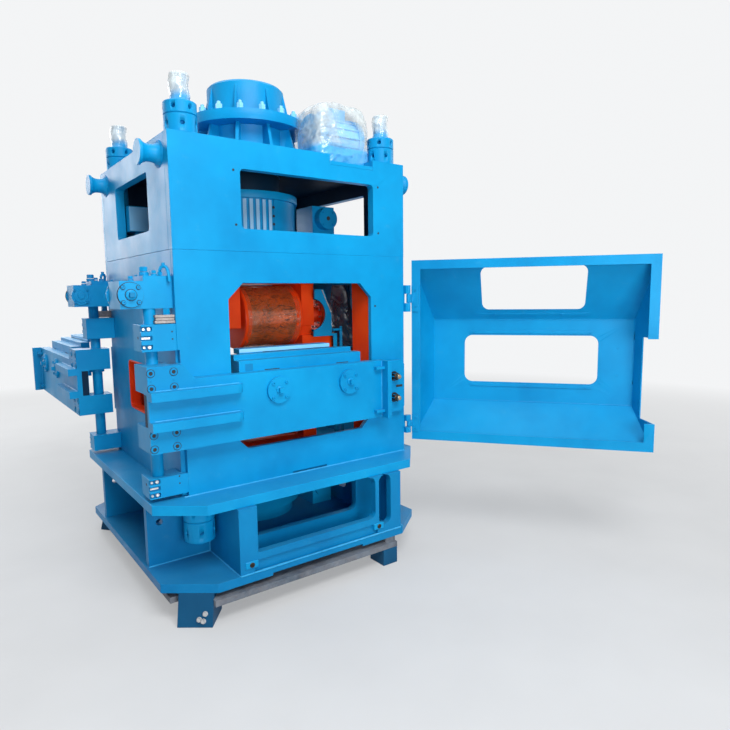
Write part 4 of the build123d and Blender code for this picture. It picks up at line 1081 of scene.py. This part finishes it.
def chamber_post():
    """The small post with its stub, and the thin bar in front of the guard."""
    post, bar = Piece(), Piece()
    x, y, stub_z = 0.482, -0.262, 1.329
    post.tube([(x, y, 0.592), (x, y, stub_z + 0.020)], 0.010, 16)
    post.tube([(x, y, stub_z), (0.423, y, stub_z)], 0.008, 16)
    post.finish("chamber_post", BLUE, "stand", "blue_paint")
    bar.tube([(0.352, -0.2520, 1.580), (0.417, -0.2520, 1.440)], 0.0035, 10)
    bar.finish("guard_bar", STEEL, "stand", "bare_steel")


roll_details()
chamber_sheet()
chamber_post()


# Door


def door_details():
    """The upper strip, the strips' screws, the hinge screws and the weld beads of the door."""
    rng = random.Random(5)
    strip, screws, beads = Piece(), Piece(), Piece()
    slope = Vector((0, 0.27, 0.363)).normalized()
    inward = Vector((0, slope.z, -slope.y))
    foot = Vector((0, DOOR_PANEL_Y, 1.387)) + inward * 0.0062
    side = Matrix((RIGHT, slope, inward)).transposed().to_4x4()
    plate = Matrix.Translation(foot + slope * 0.040) @ side
    thick = 0.005
    strip.box((-1.045, -0.009, 0), (-0.365, 0.009, thick), plate)
    strip.finish("door_top_strip", BLUE, "door", "blue_paint", (DOOR,), 0.001)
    for x in (-0.488, -0.889):
        socket_screw(screws, plate @ Vector((x, 0, thick)), inward, 0.0065, 0.005)
    inner = DOOR_PANEL_Y + 0.006
    for z, columns in ((1.300, (-0.353, -0.700, -1.053)), (0.960, (-0.345, -0.680, -1.040))):
        for x in columns:
            socket_screw(screws, (x, inner + thick, z), -FRONT, 0.0055, 0.004)
    for z in (1.204, 1.040):
        socket_screw(screws, (-1.215, inner, z), -FRONT, 0.0055, 0.003)
    for low, high in ((1.440, 1.600), (0.690, 0.800)):
        for share in (0.2, 0.8):
            z = low + (high - low) * share
            socket_screw(screws, (-0.026, 0.006, z), -FRONT, 0.0055, 0.004)
    screws.finish("door_screws", BLUE, "door", "blue_paint", (DOOR,))
    right, left, bottom, top, y = -0.096, -1.304, 0.857, 1.380, -0.2635
    seams = [((right, y, z), (left, y, z)) for z in (bottom, top)]
    seams += [((x, y, bottom), (x, y, top)) for x in (right, left)]
    weld_beads(beads, seams, 0.02, 0.0035, 0.15, rng)
    beads.finish("door_welds", BLUE, "door", "blue_paint", (DOOR,))


door_details()


# Camera, light and stage


def camera():
    """The photograph's viewpoint: a hand-held camera at eye height."""
    eye = (-1.6425, -3.3797, 1.55)
    yaw, pitch, roll = math.radians(36.585), math.radians(-6.855), math.radians(-0.70)
    flat = math.cos(pitch)
    ahead = Vector((math.sin(yaw) * flat, math.cos(yaw) * flat, math.sin(pitch)))
    level = Vector((math.cos(yaw), -math.sin(yaw), 0))
    over = level.cross(ahead)
    right = level * math.cos(roll) + over * math.sin(roll)
    up = over * math.cos(roll) - level * math.sin(roll)
    data = bpy.data.cameras.new("camera")
    data.lens = 29.1
    data.sensor_width = 36.0
    data.clip_end = 100
    obj = bpy.data.objects.new("camera", data)
    bpy.context.scene.collection.objects.link(obj)
    turn = Matrix((right, up, -ahead)).transposed().to_4x4()
    obj.matrix_world = Matrix.Translation(eye) @ turn
    bpy.context.scene.camera = obj


def lamp(name, place, aim, size, power, colour=(1, 1, 1)):
    """A soft area lamp that looks at a point."""
    data = bpy.data.lights.new(name, "AREA")
    data.shape = "RECTANGLE"
    data.size, data.size_y = size
    data.energy = power
    data.color = colour
    obj = bpy.data.objects.new(name, data)
    bpy.context.scene.collection.objects.link(obj)
    aimed = (Vector(aim) - Vector(place)).to_track_quat("-Z", "Y").to_matrix().to_4x4()
    obj.matrix_world = Matrix.Translation(place) @ aimed
    obj.visible_camera = False


def seen_rays(tree):
    """1 for the rays that show the background: camera, mirror and glass rays."""
    path = tree.nodes.new("ShaderNodeLightPath")
    share = path.outputs["Is Camera Ray"]
    for ray in ("Is Glossy Ray", "Is Transmission Ray"):
        either = tree.nodes.new("ShaderNodeMath")
        either.operation = "MAXIMUM"
        tree.links.new(share, either.inputs[0])
        tree.links.new(path.outputs[ray], either.inputs[1])
        share = either.outputs[0]
    return share


def backdrop(name, colour, strength):
    """A world whose colour lights the part, while seen_rays see the background."""
    world = bpy.data.worlds.new(name)
    world.use_nodes = True
    tree = world.node_tree
    tree.nodes.clear()
    out = tree.nodes.new("ShaderNodeOutputWorld")
    lit = tree.nodes.new("ShaderNodeBackground")
    seen = tree.nodes.new("ShaderNodeBackground")
    mix = tree.nodes.new("ShaderNodeMixShader")
    lit.inputs["Color"].default_value = (*colour, 1)
    lit.inputs["Strength"].default_value = strength
    seen.inputs["Color"].default_value = (*BACKGROUND, 1)
    seen.inputs["Strength"].default_value = 1.0
    tree.links.new(seen_rays(tree), mix.inputs["Fac"])
    tree.links.new(lit.outputs[0], mix.inputs[1])
    tree.links.new(seen.outputs[0], mix.inputs[2])
    tree.links.new(mix.outputs[0], out.inputs["Surface"])
    bpy.context.scene.world = world


def floor():
    """A plain pale floor that runs out into the background."""
    half = 24
    f = Finish("pale_floor")
    f.colour(f.mix(f.span(f.noise(2.0, 3.0), 0.3, 0.7), (0.50, 0.51, 0.52), (0.54, 0.55, 0.56)))
    f.fixed(Roughness=0.7)
    reach = f.tree.nodes.new("ShaderNodeVectorMath")
    reach.operation = "LENGTH"
    f.link(f.place.outputs["Object"], reach.inputs[0])
    far = f.times(f.span(reach.outputs["Value"], 3.2, 8.5, 0.35, 1.0), seen_rays(f.tree))
    glow = f.node("ShaderNodeEmission", Color=(*BACKGROUND, 1))
    blend = f.tree.nodes.new("ShaderNodeMixShader")
    f.link(far, blend.inputs[0])
    f.link(f.shader.outputs[0], blend.inputs[1])
    f.link(glow.outputs[0], blend.inputs[2])
    f.link(blend.outputs[0], f.tree.nodes["Material Output"].inputs["Surface"])
    mesh = bpy.data.meshes.new("floor")
    corners = [(-half, -half, 0), (half, -half, 0), (half, half, 0), (-half, half, 0)]
    mesh.from_pydata(corners, [], [(0, 1, 2, 3)])
    obj = bpy.data.objects.new("floor", mesh)
    obj.data.materials.append(f.material)
    bpy.context.scene.collection.objects.link(obj)


camera()
lamp("key_high", (-0.8, -3.7, 4.7), (0, -0.5, 1.7), (3, 2), 210)
lamp("roof_light", (-0.5, 0.5, 6.5), (0, 0, 1.0), (6, 6), 140, DAYLIGHT)
lamp("window_left", (-3.2, 6.0, 3.4), (-0.7, 0, 2.2), (4, 3), 150, DAYLIGHT)
lamp("side_left", (-6.5, -0.5, 2.6), (0, 0, 1.2), (5, 3), 20, DAYLIGHT)
lamp("fill_front", (-1.0, -6.0, 1.7), (0.1, 0, 1.4), (3, 1.6), 160)
lamp("fill_right", (6.0, -1.0, 3.0), (0, 0, 1.2), (4, 3), 70)
lamp("fill_rear", (0.0, 6.5, 3.0), (0, 0, 1.2), (5, 3), 90)
backdrop("soft_sky", (0.86, 0.90, 0.94), 0.13)
floor()
bpy.context.scene.view_settings.view_transform = "Standard"
